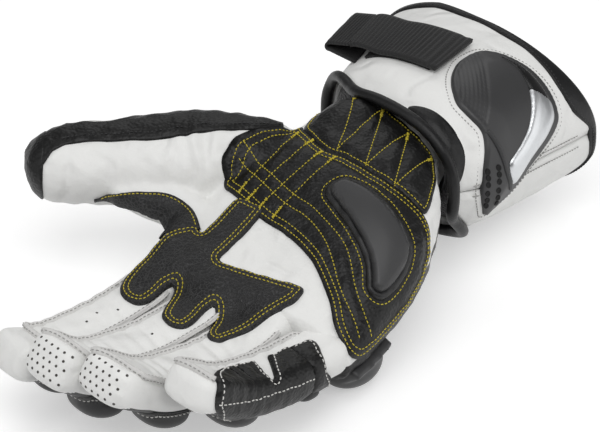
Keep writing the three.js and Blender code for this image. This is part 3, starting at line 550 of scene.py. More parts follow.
BACK_FROM, BACK_MIDDLE, BACK_TO = math.radians(204), 1.5 * math.pi, math.radians(336)
FINGER_SQUARE, TIP_SQUARER, FINGER_TUCK, TRAY_DEPTH = 2.6, 0.7, 1.4, 1.2
WRINKLE_HEIGHT, WRINKLE_PITCH, WRINKLE_REACH, WRINKLE_BOW = 0.5, 3.9, 11.0, 3.5


def finger_skin(name, s, angle, off=0.0):
    """Point of a finger's leather, drawn in at the root and creased on the palm side at its joints."""
    d = fingers[name]
    s, angle = np.broadcast_arrays(np.asarray(s, float), np.asarray(angle, float))
    rise = finger_rise[name] * (1 - eased((s + 2) / 20))
    tuck = -FINGER_TUCK * (1 - eased((s + 5) / 7))
    palm = np.clip(np.sin(angle), 0, 1)
    near = sum(np.exp(-((s - j) / WRINKLE_REACH) ** 2) for j in d.joints)
    bow = WRINKLE_BOW * np.cos(angle)
    waves = np.sin((s + bow) / WRINKLE_PITCH * math.pi + 2.2 * np.sin(s / 9.0 + len(name)))
    open_end = 1 - np.clip((s - d.length + d.dome) / d.dome, 0, 1)
    tray = -TRAY_DEPTH * eased((np.sin(angle) - 0.68) / 0.3) * eased((s - 4) / 10)
    square = FINGER_SQUARE + TIP_SQUARER * eased((s - d.length + 24) / 10)
    wrinkles = WRINKLE_HEIGHT * near * palm ** 2 * waves
    return d.place(s, angle, off + tuck + open_end * (tray + wrinkles), rise, square)


def tip_run(d):
    """Places along a finger at which the rounding of its end is drawn."""
    return d.length - d.dome + d.dome * np.sin(np.radians(np.arange(0, 90, 7.0))) ** (1 / 1.2)


def blend_finger(made, name, part):
    """Bakes the placing of a piece of a finger's stall or of its tip into its mesh; the points at the knuckle
    and at the middle joint are worked out but not used.
    """
    d = fingers[name]
    if part == "stall":
        row(d.frame(-1.0)[0])
        row(d.frame(FINGER_FLEX + 2)[0])
        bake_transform(made)
    else:
        row(d.frame(d.reach - MIDDLE_FLEX)[0])
        row(d.frame(d.reach + MIDDLE_FLEX)[0])
        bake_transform(made)


for name, d in fingers.items():
    stall = np.arange(-5, FINGER_SPLIT + 0.1, 1.1)
    stall[-1] = FINGER_SPLIT
    tip = np.concatenate([np.arange(FINGER_SPLIT, d.length - d.dome - 0.8, 1.1), tip_run(d)])
    for part, run in (("stall", stall), ("tip", tip)):
        p, f = skin([finger_skin(name, s, ROUND) for s in run], False, part == "tip")
        count = len(ROUND)
        side = [ROUND[min(face) % count] if len(face) == 4 else 0 for face in f]
        cap = [d.length - CAP_LENGTH - 7 * ((a - BACK_MIDDLE) / (BACK_TO - BACK_MIDDLE)) ** 2 for a in side]
        looks = [1 if BACK_FROM < a < BACK_TO and run[min(i // count, len(run) - 1)] < c else 0
                 for i, (a, c) in enumerate(zip(side, cap))]
        made = piece(f"{name}_{part}_leather", p, [g[::-1] for g in f], white_leather, black_leather,
                     finish_of=looks)
        blend_finger(made, name, part)
        if part == "stall":
            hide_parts(f"{name}_knuckle_bend", f"{name}_stall")
        else:
            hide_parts(f"{name}_middle_bend", f"{name}_tip")


# Finger seams.
# Outside seams of the stalls: two raw edges of the white cowhide stand up side by side along both edges
# of the palm face and across the fingertip, sewn through with grey bonded nylon thread of about 0.5 mm.
RIB_HALF, RIB_HIGH, RIB_ANGLE = 0.95, 2.1, math.radians(40)
THREAD, STITCH, PITCH, SEAM_STEPS = 0.25, 1.3, 1.85, 60
SEAM_SEWING = (2.2, 1.4, 0.22)  # pitch, length and radius of a stitch
RIB_SINK = 2.8
# how far the seam across the fingertip lies from its end, on the thumb side and on the outer side
CAP_DEPTH = {"index": (15.0, 10.5), "middle": (2.6, 8.0), "ring": (1.9, 9.0), "little": (2.4, 5.0)}
RIB_SHAPE = np.array([  # across, up
    (-1.15, -0.8), (-1.05, 0.5), (-0.85, 0.92), (-0.4, 1.0), (0, 0.78),
    (0.4, 1.0), (0.85, 0.92), (1.05, 0.5), (1.15, -0.8),
]) * (RIB_HALF, RIB_HIGH)


def unit(vectors):
    return vectors / np.maximum(np.linalg.norm(vectors, axis=-1, keepdims=True), 1e-9)


def way_along(line):
    """Way from the start of a line to each of its points."""
    return np.concatenate([[0], np.cumsum(np.linalg.norm(np.diff(line, axis=0), axis=1))])


def resampled(line, step):
    """Points at even steps along a line."""
    line = np.asarray(line, float)
    run = way_along(line)
    t = np.linspace(0, run[-1], max(2, int(round(run[-1] / step)) + 1))
    return np.stack([np.interp(t, run, line[:, i]) for i in range(line.shape[1])], -1)


def swept(path, up, shape):
    """A shape of (across, up) points carried along a path, with closed ends."""
    path = np.asarray(path, float)
    along = unit(np.gradient(path, axis=0))
    side = unit(np.cross(along, up))
    over = np.cross(side, along)
    loops = path[:, None] + shape[None, :, :1] * side[:, None] + shape[None, :, 1:] * over[:, None]
    return skin(loops)


def stitches(path, up, pitch=PITCH, length=STITCH, radius=THREAD):
    """Short rounded threads along a path, each dipping into the leather at both ends."""
    path, up = np.asarray(path, float), np.asarray(up, float)
    run = way_along(path)
    starts = np.arange(0.5 * (pitch - length), run[-1] - length, pitch)
    t = starts[:, None] + length * np.array([0, 0.16, 0.5, 0.84, 1])
    at = np.stack([np.interp(t, run, path[:, i]) for i in range(3)], -1)
    rise = unit(np.stack([np.interp(t, run, up[:, i]) for i in range(3)], -1))
    side = unit(np.cross((at[:, -1] - at[:, 0])[:, None], rise))
    high = radius * np.array([-0.8, 0.35, 0.6, 0.35, -0.8])[None, :, None]
    fat = radius * np.array([0.45, 0.9, 1, 0.9, 0.45])[None, :, None, None]
    turn = np.radians(np.arange(0, 360, 60))[None, None, :, None]
    ring = np.cos(turn) * side[:, :, None] + np.sin(turn) * rise[:, :, None]
    rings = (at + rise * high)[:, :, None] + fat * ring
    return joined(*[skin(r) for r in rings])


def layered(name, *layers):
    """A piece from layers, each a finish and its skins."""
    skins = [s for _, layer in layers for s in layer]
    looks = [k for k, (_, layer) in enumerate(layers) for s in layer for _ in s[1]]
    return piece(name, *joined(*skins), *(look for look, _ in layers), finish_of=looks)


def thread(name, dark, light):
    """Bonded twisted thread: two plies that catch the light in turn, drawn as bands of about 0.6 mm."""
    made, tree, surface, tone, where = finish(name, dark, light, {"Roughness": 0.6, "IOR": 1.53})
    twist = node(tree, "ShaderNodeTexWave", {"Vector": where, "Scale": every(1.2), "Distortion": 2.0},
                 bands_direction="DIAGONAL")
    tree.links.new(twist.outputs["Fac"], tone)
    ply = node(tree, "ShaderNodeBump", {
        "Height": twist.outputs["Fac"], "Strength": 0.5, "Distance": 0.0002,
    })
    tree.links.new(ply.outputs["Normal"], surface.inputs["Normal"])
    return made


grey_thread = thread("grey_bonded_nylon_thread", "#8b8a88", "#b4b3b0")

# White split-edge of the hide: the cut edge is a matt, faintly fibrous off-white.
cut_leather, tree, surface, tone, where = finish(
    "white_cowhide_cut_edge", "#c3c2c0", "#eeedeb", {"Roughness": 0.8, "IOR": 1.5})
fibre = node(tree, "ShaderNodeTexNoise", {
    "Vector": where, "Scale": every(1.2), "Detail": 5.0, "Roughness": 0.7,
})
tree.links.new(fibre.outputs["Fac"], tone)
fibre_bump = node(tree, "ShaderNodeBump", {
    "Height": fibre.outputs["Fac"], "Strength": 0.6, "Distance": 0.0006,
})
tree.links.new(fibre_bump.outputs["Normal"], surface.inputs["Normal"])

for name, d in fingers.items():
    turn = np.linspace(0, math.pi, 25)
    outer_side = (1 + np.cos(turn)) / 2
    set_back = CAP_DEPTH[name][0] * (1 - outer_side) + CAP_DEPTH[name][1] * outer_side
    over_tip = np.stack([
        d.length - set_back - 3 * (1 - np.sin(turn) ** 0.7),
        np.pi / 2 + (math.pi / 2 - RIB_ANGLE) * np.cos(turn),
    ], 1)
    to_tip = np.linspace(1.0, over_tip[0, 0], SEAM_STEPS)[:-1]
    from_tip = np.linspace(over_tip[-1, 0], 1.0, SEAM_STEPS)[1:]
    line = np.vstack([
        np.column_stack([to_tip, np.full(len(to_tip), math.pi - RIB_ANGLE)]),
        over_tip,
        np.column_stack([from_tip, np.full(len(from_tip), RIB_ANGLE)]),
    ])
    # the little finger has no seam where its side panel covers the edge
    line = line[SEAM_STEPS + 4:] if name == "little" else line
    # the ribs sink into the leather towards the palm, under the edge of the grip patch
    sunk = -RIB_SINK * (1 - eased((line[:, 0] - 3) / 8))
    base = finger_skin(name, line[:, 0], line[:, 1], sunk)
    up = unit(finger_skin(name, line[:, 0], line[:, 1], sunk + 1.0) - base)
    on_stall, on_tip = line[:, 0] <= FINGER_SPLIT + 1.2, line[:, 0] >= FINGER_SPLIT - 0.6
    for part, chosen in (("stall", on_stall), ("tip", on_tip)):
        keep = np.flatnonzero(chosen)
        ribs, rows = [], []
        for stretch in np.split(keep, np.flatnonzero(np.diff(keep) > 1) + 1):
            path = resampled(np.hstack([base[stretch], up[stretch]]), 1.0)
            at, n = path[:, :3], unit(path[:, 3:])
            side = unit(np.cross(np.gradient(at, axis=0), n))
            ribs.append(swept(at, n, RIB_SHAPE))
            for way in (-1, 1):
                beside = at + n * 1.0 + way * 1.05 * side
                rows.append(stitches(beside, unit(n * 0.5 + way * side), *SEAM_SEWING))
        made = layered(f"{name}_{part}_seam", (cut_leather, ribs), (grey_thread, rows))
        blend_finger(made, name, part)


# Perforations.
# Air holes of about 1 mm, punched through the caps of the middle and ring fingers, and a few in the palm
# faces. Each shows as a small dark dish in the hide.
HOLE = 0.5
HOLE_RINGS = ((1.25, -0.25), (1.1, 0.12), (0.85, 0.1), (0.3, 0.02))  # share of the radius, height
PALM_HOLES = {"index": ((28, 100), (36, 84), (44, 92)), "middle": ((38, 92),), "ring": ()}  # s and angle
CAP_ROWS, CAP_COLUMNS, CAP_PITCH = 5, 6, 3.5

# Raw hide in a punched hole: rough and dark, as the deep shade in it makes it.
hole_finish, tree, surface, tone, where = finish(
    "punched_hole_in_cowhide", "#2a2826", "#57534f", {"Roughness": 0.9, "IOR": 1.5})
depth = node(tree, "ShaderNodeTexNoise", {"Vector": where, "Scale": every(0.6), "Detail": 2.0})
tree.links.new(depth.outputs["Fac"], tone)
for name, single in PALM_HOLES.items():
    d = fingers[name]
    run = np.concatenate([np.arange(0, d.length - d.dome - 0.4, 0.6), tip_run(d)])
    outside = touch_tree(*skin([finger_skin(name, s, ROUND) for s in run], False, True))
    aims = []
    for s, angle in single:
        at, out = (finger_skin(name, s, math.radians(angle), off) for off in (0.0, 9.0))
        aims.append((out, at - out))
    at, ahead, across, face = d.frame(d.length - d.dome)
    for k in range(CAP_ROWS if name != "index" else 0):
        for column in range(CAP_COLUMNS):
            u = CAP_PITCH * (column - (CAP_COLUMNS - 1) / 2 + 0.5 * (k % 2) - 0.25)
            v = 0.85 * CAP_PITCH * (k - (CAP_ROWS - 1) / 2)
            aims.append((at + 30 * ahead + u * across + v * face, -ahead))
    skins = []
    for start, aim in aims:
        at, n = (np.array(v) for v in outside.ray_cast(Vector(start), Vector(unit(aim)))[:2])
        n = n if n @ aim < 0 else -n
        side = unit(np.cross(n, (0.3, 0.5, 0.8)))
        turn = np.radians(np.arange(0, 360, 36))[:, None]
        ring = np.cos(turn) * side + np.sin(turn) * np.cross(side, n)
        skins.append(skin([at + n * h + HOLE * r * ring for r, h in HOLE_RINGS]))
    made = piece(f"{name}_air_holes", *joined(*skins), hole_finish)
    blend_finger(made, name, "tip")


# Thumb back and tip.
# A strip of black cowhide along the back of the thumb from the heel to the tip, where it wraps round the
# end. It is lapped over the white hide and topstitched along its lower edge.
STRIP_LIFT = 0.9
STRIP_EDGE = np.array([  # s, angle of the lower edge
    (-36, 50), (-30, 62), (-24, 72), (-14, 77), (-4, 81), (8, 85), (22, 88), (38, 87),
    (50, 86), (60, 89), (66, 98), (70, 112), (74, 125),
], float)
STRIP_BACK = np.array([  # s, angle of the far edge
    (-36, -75), (18, -75), (26, 15), (33, 41), (46, 47), (58, 40), (66, 5), (74, -75),
], float)
SEWN_IN = 2.6


def on_thumb_skin(s, angle, off):
    """Points laid on the leather of the thumb, off millimetres above it."""
    s, angle = np.broadcast_arrays(np.asarray(s, float), np.asarray(angle, float))
    out = thumb.place(np.minimum(s, thumb.length - 0.05), angle, 10.0).reshape(-1, 3)
    mid = thumb.frame(np.clip(s, -60, thumb.length - 12))[0].reshape(-1, 3)
    placed = np.empty_like(out)
    for i, (a, b) in enumerate(zip(out, mid)):
        aim = unit(b - a)
        hit = leather_tree.ray_cast(Vector(a), Vector(aim))[0]
        placed[i] = (np.array(hit) if hit is not None else b) - aim * np.ravel(off)[i % np.size(off)]
    return placed.reshape(s.shape + (3,))


def sheet(points):
    """Points and faces of a grid of points."""
    m, n = points.shape[:2]
    at = np.arange(m * n).reshape(m, n)
    quads = np.stack([at[:-1, :-1], at[1:, :-1], at[1:, 1:], at[:-1, 1:]], -1).reshape(-1, 4)
    return points.reshape(-1, 3), [tuple(q) for q in quads.tolist()]


black_thread = thread("black_bonded_nylon_thread", "#161616", "#38383a")
share = np.concatenate([np.linspace(0, 1, 26), [1.012, 1.012]])
lifts = np.concatenate([[-0.8], np.full(24, STRIP_LIFT), [STRIP_LIFT - 0.05, STRIP_LIFT - 0.5, -0.8]])
for name, part, low, high in (("thumb_back_strip", "stall", -36, THUMB_SPLIT),
                              ("thumb_end_strip", "tip", THUMB_SPLIT, 73.5)):
    s = np.linspace(low, high, int((high - low) / 1.4) + 1)[:, None]
    edge = np.interp(s, STRIP_EDGE[:, 0], STRIP_EDGE[:, 1])
    far = np.interp(s, STRIP_BACK[:, 0], STRIP_BACK[:, 1])
    angle = np.radians(far + (edge - far) * share[None])
    spread = np.stack([s + 0 * angle, 14 * angle, 0 * angle], -1).reshape(-1, 3)
    uneven = folds(spread, 9, 11).reshape(angle.shape)
    skins = [sheet(on_thumb_skin(s + 0 * angle, angle, lifts + 0.25 * uneven * (lifts > 0)))]
    if part == "tip":
        # the strip wraps round the end of the thumb as a cap
        hub, ahead, across, face = thumb.frame(thumb.length - 14)
        tilt = np.radians(np.concatenate([[0.5], np.arange(6, 66, 4.5), [66.5, 67.5, 67.5]]))[:, None]
        around = np.radians(np.arange(0, 361, 7.5))[None]
        lift = np.concatenate([np.full(len(tilt) - 3, STRIP_LIFT + 0.15), [STRIP_LIFT, 0.4, -0.8]])[:, None]
        pinch = 0.5 * np.sin(3 * around + 1.0) * np.exp(-((np.degrees(tilt) - 35) / 18) ** 2)
        aims = (np.cos(tilt)[..., None] * ahead + (np.sin(tilt) * np.cos(around))[..., None] * across
                + (np.sin(tilt) * np.sin(around))[..., None] * face)
        hits = [leather_tree.ray_cast(Vector(hub + 45 * a), Vector(-a))[0] for a in aims.reshape(-1, 3)]
        skins.append(sheet(np.array(hits).reshape(aims.shape) + (lift + pinch)[..., None] * aims))
    s_row = np.linspace(low + 1, min(high, 63) - 0.5, 160)
    a_row = np.radians(np.interp(s_row, STRIP_EDGE[:, 0], STRIP_EDGE[:, 1])) - SEWN_IN / 17
    path = on_thumb_skin(s_row, a_row, STRIP_LIFT)
    sewing = stitches(path, unit(path - thumb.frame(s_row)[0]))
    made = layered(name, (black_leather, skins), (black_thread, [sewing]))
    blend_thumb(made, part)
    if part == "stall":
        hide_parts("thumb_back_panel")


# Heel patch.
# The impact pad over the heel of the hand: black pebbled cowhide over a sheet of foam, quilted through with
# yellow thread in two long rows and four short ones, and sewn down by a double row round its edge.
WAY_ROUND = np.radians(np.linspace(-75, 255, 661))
HAND_CLEAR, PATCH_CLEAR = 45.0, 25.0
TACK_STEP, TACK_HALF, TACK_TURNS = 0.45, 0.8, 13
TACK_SEWING = (1.6, 1.5, 0.34)


def lay_hand(flat):
    """Points (x, distance round the hand from the middle of the palm) laid on the leather, with normals."""
    placed, upright = [], []
    for x, w in np.asarray(flat, float):
        run = way_along(hand_point(np.full(len(WAY_ROUND), x), WAY_ROUND))
        angle = np.interp(np.interp(math.pi / 2, WAY_ROUND, run) - w, run, WAY_ROUND)
        at = hand_point(x, angle)
        around = hand_point(x, angle + 0.02) - hand_point(x, angle - 0.02)
        n = unit(np.cross(around, hand_point(x + 1, angle) - at))
        n = n if n @ (hand_point(x, angle, 1.0) - at) > 0 else -n
        hit = leather_tree.ray_cast(Vector(at + HAND_CLEAR * n), Vector(-n))[0]
        placed.append(np.array(hit) if hit is not None else at)
        upright.append(n)
    return np.array(placed), np.array(upright)


def rounded(corners, radius, closed=True):
    """An outline whose corners are rounded off."""
    corners = np.asarray(corners, float)
    n, line = len(corners), []
    for i in range(n):
        if not closed and i in (0, n - 1):
            line.append(corners[i][None])
            continue
        a, b, c = corners[i - 1], corners[i], corners[(i + 1) % n]
        p = b + unit(a - b) * min(radius, 0.45 * np.linalg.norm(a - b))
        q = b + unit(c - b) * min(radius, 0.45 * np.linalg.norm(c - b))
        t = np.linspace(0, 1, 7)[:, None]
        line.append((1 - t) ** 2 * p + 2 * t * (1 - t) * b + t ** 2 * q)
    return np.vstack(line + ([line[0][:1]] if closed else []))


def away_from(points, line):
    """Distance of flat points from a line."""
    points, line = np.asarray(points, float), np.asarray(line, float)
    a, d = line[:-1], np.diff(line, axis=0)
    t = np.clip(((points[:, None] - a) * d).sum(-1) / np.maximum((d * d).sum(-1), 1e-9), 0, 1)
    return np.linalg.norm(points[:, None] - a - t[..., None] * d, axis=-1).min(1)


def within(points, outline):
    """Which flat points lie inside an outline."""
    x, y = np.asarray(points, float).T[:, :, None]
    (x0, y0), (x1, y1) = outline[:-1].T[:, None], outline[1:].T[:, None]
    level = np.where(y1 == y0, 1e-9, y1 - y0)
    return (((y0 > y) != (y1 > y)) & (x < (x1 - x0) * (y - y0) / level + x0)).sum(1) % 2 == 1


def flat_mesh(outline, spacing):
    """Even points in a closed flat outline and the triangles between them; the edge's points come first."""
    edge = resampled(outline, spacing)[:-1]
    low, high = edge.min(0), edge.max(0)
    grid = np.array([
        (x + (j % 2) * spacing / 2, y)
        for j, y in enumerate(np.arange(low[1], high[1], spacing * 0.866))
        for x in np.arange(low[0], high[0], spacing)
    ])
    grid = grid[within(grid, outline)]
    grid = grid[away_from(grid, outline) > 0.6 * spacing]
    points = np.vstack([edge, grid])
    n = len(edge)
    ring = [(i, (i + 1) % n) for i in range(n)]
    found = delaunay_2d_cdt([Vector(p) for p in points], ring, [list(range(n))], 1, 1e-6)
    return points, n, [tuple(f) for f in found[2]]


def crowned(base, n, height, edge_count, triangles, sink=1.4):
    """A patch with its height over its base and a side all round that sinks into what carries it."""
    top = base + n * height[:, None]
    skirt = base[:edge_count] - n[:edge_count] * sink
    first = len(top)
    sides = [(i, (i + 1) % edge_count, first + (i + 1) % edge_count, first + i) for i in range(edge_count)]
    middle = top[list(triangles[0])]
    turn = np.cross(middle[1] - middle[0], middle[2] - middle[0]) @ n[triangles[0][0]]
    if turn < 0:
        triangles = [f[::-1] for f in triangles]
    corner = {frozenset(p): p for f in triangles for p in zip(f, f[1:] + f[:1])}
    sides = [s if corner.get(frozenset(s[:2])) == s[:2][::-1] else s[::-1] for s in sides]
    return np.vstack([top, skirt]), triangles + sides


def patch_on(outline, spacing, lay):
    """An outline filled with points and laid on what carries it: the flat points, where they lie, the
    normals, the way to the edge, and the edge's count with the triangles."""
    flat, edge_count, triangles = flat_mesh(outline, spacing)
    base, n = lay(flat)
    return flat, base, n, away_from(flat, outline), (edge_count, triangles)


def sewn(lines, lay, tree, pitch=PITCH, length=STITCH, radius=THREAD):
    """Rows of stitches along flat lines, on the top of a patch."""
    skins = []
    for line in lines:
        flat = resampled(line, 0.8)
        base, n = lay(flat)
        at = [tree.ray_cast(Vector(b + PATCH_CLEAR * k), Vector(-k))[0] for b, k in zip(base, n)]
        keep = [i for i, p in enumerate(at) if p is not None]
        if len(keep) > 3:
            skins.append(stitches(np.array([at[i] for i in keep]), n[keep], pitch, length, radius))
    return skins


def inset(outline, distance):
    """A line inside a closed outline at an even distance from its edge; a negative distance lies outside."""
    outline = resampled(outline, 0.5)
    along = unit(np.roll(outline[:-1], -1, 0) - np.roll(outline[:-1], 1, 0))
    inward = np.stack([-along[:, 1], along[:, 0]], 1)
    if not within(outline[:1] + inward[:1] * 0.2, outline)[0]:
        inward = -inward
    line = outline[:-1] + inward * distance
    line = line[away_from(line, outline) > distance * 0.93]
    return np.vstack([line, line[:1]])


def tack(flat, toward, lay, tree):
    """A bar tack: a short dense zigzag of thread at the end of a row."""
    ahead = unit(np.array(toward, float) - flat)
    side = np.array([-ahead[1], ahead[0]])
    zig = np.array([
        flat + ahead * TACK_STEP * k + side * (TACK_HALF if k % 2 else -TACK_HALF) for k in range(TACK_TURNS)
    ])
    return sewn([zig], lay, tree, *TACK_SEWING)


yellow_thread = thread("yellow_bonded_nylon_thread", "#a8941c", "#e3d23c")
HEEL_PAD, HEEL_SEAMS = 2.6, (1.7, 3.9)  # thickness, rows from the edge
HEEL = rounded([
    (52, 41), (41, 42), (35, 43), (31, 31), (26, 16), (24, 0), (19, -15), (13, -24), (6, -33), (-3, -41),
    (-8, -51), (-3, -58), (6, -60), (22, -63), (36, -65), (47, -64), (59, -58), (65, -46), (65, -26),
    (66, -9), (67, 3), (66, 11), (74, 27), (79, 31), (63, 37),
], 5)
HEEL_ROWS = [
    rounded(line, 8, False) for line in (
        [(46, 39), (43, 32), (37, 16), (35, 8), (34, -3), (29, -15), (22, -24), (13, -33), (7, -43),
         (1, -52)],
        [(52, 39), (48, 32), (43, 18), (40, 8), (39, -2), (35, -13), (31, -24), (25, -31), (17, -38),
         (11, -47), (7, -55)],
        [(72, 28), (33, 32)], [(70, 19), (31, 26)], [(65, 11), (29, 19)], [(65, 4), (28, 11)],
    )
]
flat, base, n, to_edge, net = patch_on(HEEL, 1.35, lay_hand)
to_row = np.min([away_from(flat, line) for line in HEEL_ROWS + [inset(HEEL, 5.2)]], 0)
puff = 1 - np.exp(-(to_row / 2.3) ** 1.5)
height = (0.9 + (HEEL_PAD - 1.1) * eased(to_edge / 5) * (0.38 + 0.62 * puff)
          + 0.18 * folds(base, 7, 21) * eased(to_edge / 3))
heel = crowned(base, n, height, *net)
heel_tree = touch_tree(*heel)
rows = sewn([inset(HEEL, k) for k in HEEL_SEAMS] + HEEL_ROWS, lay_hand, heel_tree)
for line in HEEL_ROWS[2:]:
    rows += tack(line[0], line[-1], lay_hand, heel_tree) + tack(line[-1], line[0], lay_hand, heel_tree)
made = layered("heel_patch_quilted", (black_leather, [heel]), (yellow_thread, rows))
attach(made, "hand")
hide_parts("heel_patch")


# Wrist patch.
# The pad over the inside of the wrist: the same cowhide and foam as on the heel, sewn in a zigzag of yellow
# thread so that it folds with the wrist.
WRIST_PAD = 2.0
WRIST = rounded([
    (79, 30), (90, 30), (101, 25), (107, 14), (106, 3), (101, -13), (97, -28), (93, -33), (80, -40),
    (67, -44), (65, -42), (65, -26), (66, -9), (67, 3), (66, 11), (74, 27),
], 4)
ZIGZAG = np.array([(104, 16), (69, 6), (102, 2), (67, -10), (97, -14), (65, -26), (94, -29)], float)
flat, base, n, to_edge, net = patch_on(WRIST, 1.35, lay_hand)
to_row = np.min([away_from(flat, line) for line in (ZIGZAG, inset(WRIST, 2.4))], 0)
puff = 1 - np.exp(-(to_row / 2.6) ** 1.5)
height = (0.7 + (WRIST_PAD - 0.6) * eased(to_edge / 5) * (0.3 + 0.7 * puff)
          + 0.2 * folds(base, 6, 22) * eased(to_edge / 3))
pad = crowned(base, n, height, *net)
wrist_tree = touch_tree(*pad)
rows = sewn([ZIGZAG, inset(WRIST, 2.0)], lay_hand, wrist_tree)
for corner, toward in zip(ZIGZAG[::2], np.vstack([ZIGZAG[1::2], ZIGZAG[-2:-1]])):
    rows += tack(corner, toward, lay_hand, wrist_tree)
made = layered("wrist_patch_quilted", (black_leather, [pad]), (yellow_thread, rows))
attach(made, "hand")
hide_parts("wrist_patch")


# Palm slider.
# A hard slider moulded in dark grey polyurethane over the heel, in a black moulded rim that is sewn to
# the pad by a row of yellow thread.
RIM_WIDTH = 2.5
SLIDER = rounded([
    (48, -2.5), (54, -4.5), (57, -9), (57.5, -18.5), (55.5, -30), (52, -41), (47.5, -48), (40.5, -51.3),
    (28, -51.5), (21, -49.5), (18.8, -46), (19.2, -42), (22.5, -40), (28, -36), (32.5, -30), (37.7, -20.5),
    (42.5, -9), (44.5, -4.5),
], 4)


def tpu(name, dark, light, rough):
    """Injection-moulded thermoplastic polyurethane: an even tone with a fine spark-eroded texture of the
    mould, about 0.3 mm in life and drawn at 0.6 mm."""
    made, tree, surface, tone, where = finish(name, dark, light, {"IOR": 1.5})
    grain = node(tree, "ShaderNodeTexNoise", {"Vector": where, "Scale": every(0.6), "Detail": 2.0})
    cloud = node(tree, "ShaderNodeTexNoise", {"Vector": where, "Scale": every(12), "Detail": 3.0})
    tree.links.new(cloud.outputs["Fac"], tone)
    shine = node(tree, "ShaderNodeMapRange", {
        "Value": grain.outputs["Fac"], "To Min": rough - 0.06, "To Max": rough + 0.08,
    })
    tree.links.new(shine.outputs["Result"], surface.inputs["Roughness"])
    texture = node(tree, "ShaderNodeBump", {
        "Height": grain.outputs["Fac"], "Strength": 0.12, "Distance": 0.0002,
    })
    tree.links.new(texture.outputs["Normal"], surface.inputs["Normal"])
    return made


grey_tpu = tpu("dark_grey_moulded_polyurethane", "#333334", "#383839", 0.42)
black_tpu = tpu("black_moulded_polyurethane", "#0e0e0f", "#171718", 0.42)


def laid_over(flat, lay, tree, clear):
    """Flat points laid on top of a piece that itself lies on the hand or the cuff, with normals."""
    base, n = lay(flat)
    at = [tree.ray_cast(Vector(b + clear * k), Vector(-k))[0] for b, k in zip(base, n)]
    return np.array([b if p is None else np.array(p) for p, b in zip(at, base)]), n


def lay_heel(flat):
    return laid_over(flat, lay_hand, heel_tree, PATCH_CLEAR)


flat, base, n, to_edge, net = patch_on(SLIDER, 1.2, lay_heel)
rim = 0.4 + 1.5 * eased(to_edge / 1.2) - 0.9 * eased((to_edge - 1.6) / 1.2)
made = piece("slider_rim_moulded", *crowned(base, n, rim, *net, 1.6), black_tpu)
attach(made, "hand")
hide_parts("slider_rim")
flat, base, n, to_edge, net = patch_on(inset(SLIDER, RIM_WIDTH), 1.0, lay_heel)
# a moulding is smooth, so a cubic surface takes the place of the uneven leather under it
u, v = ((flat - flat.mean(0)) / 20).T
terms = np.stack([u ** i * v ** j for i in range(4) for j in range(4 - i)], 1)
base, n = (terms @ np.linalg.lstsq(terms, given, rcond=None)[0] for given in (base, n))
raised = 1.4 + 2.7 * eased(to_edge / 1.2) + 0.25 * eased(to_edge / 9)
made = piece("palm_slider_moulded", *crowned(base, unit(n), raised, *net, -0.4), grey_tpu)
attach(made, "hand")
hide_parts("palm_slider")
made = piece("slider_stitching", *joined(*sewn([inset(SLIDER, -1.4)], lay_hand, heel_tree)), yellow_thread)
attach(made, "hand")


# Grip patch.
# The grip over the palm: black cowhide embossed with a fine net, with a strap up to the heel pad and a lobe
# on the root of three fingers. It is sewn down by a double row of yellow thread round its edge.
GRIP_SKIN, GRIP_SEAMS = 1.2, (1.5, 3.4)  # thickness, rows from the edge
GRIP = rounded([
    (31, 29), (8.5, 31), (12, 35.5), (4.5, 43), (-3, 45.5), (-12, 46.5), (-24, 46.5), (-30.5, 43.5),
    (-34, 37), (-32.5, 30), (-26, 28), (-20, 27.5), (-15.5, 25.3), (-20, 23), (-27, 21), (-34, 18),
    (-37, 11), (-35, 5.5), (-29, 4.5), (-22, 5.5), (-16.5, 3.3), (-21, 0), (-29, -2), (-33, -6),
    (-33, -11), (-26, -13.5), (-17, -17), (-5, -22), (1, -24.5), (8, -24.5), (0, 16), (31, 13.5),
], 3.2)
LOBE_LOW = {"index": 24.0, "middle": 2.0, "ring": -40.0}

# Embossed grip leather: black with a raised net of worn grey lines, cells about 1.6 mm across.
grip_leather, tree, surface, tone, where = finish(
    "black_embossed_grip_cowhide", "#0d0d0e", "#3e3e3f", {"Roughness": 0.5, "IOR": 1.5})
bent = node(tree, "ShaderNodeTexNoise", {"Vector": where, "Scale": every(6), "Detail": 2.0})
shifted = node(tree, "ShaderNodeVectorMath", {
    0: bent.outputs["Color"], 1: (0.0016, 0.0016, 0.0016),
}, operation="MULTIPLY")
spot = node(tree, "ShaderNodeVectorMath", {0: where, 1: shifted.outputs[0]})
net = node(tree, "ShaderNodeTexVoronoi", {
    "Vector": spot.outputs[0], "Scale": every(1.6),
}, feature="DISTANCE_TO_EDGE")
line = node(tree, "ShaderNodeMapRange", {
    "Value": net.outputs["Distance"], "From Max": 0.13, "To Min": 1.0, "To Max": 0.0,
})
worn = node(tree, "ShaderNodeTexNoise", {"Vector": where, "Scale": every(9), "Detail": 3.0})
mark = node(tree, "ShaderNodeMath", {
    0: line.outputs["Result"], 1: worn.outputs["Fac"],
}, operation="MULTIPLY")
tree.links.new(mark.outputs[0], tone)
emboss = node(tree, "ShaderNodeBump", {
    "Height": line.outputs["Result"], "Strength": 0.5, "Distance": 0.0005,
})
tree.links.new(emboss.outputs["Normal"], surface.inputs["Normal"])

finger_skins = [
    skin([finger_skin(f, s, ROUND) for s in np.arange(-5, d.length - d.dome, 1.5)], False, True)
    for f, d in fingers.items()
]
upper_tree = touch_tree(*joined((leather, leather_faces), *finger_skins))


def level(flat):
    """Height of the leather under flat points seen from above."""
    found = [upper_tree.ray_cast(Vector((x, y, 120)), Vector((0, 0, -1)))[0] for x, y in flat]
    return np.array([p.z if p is not None else 30.0 for p in found])


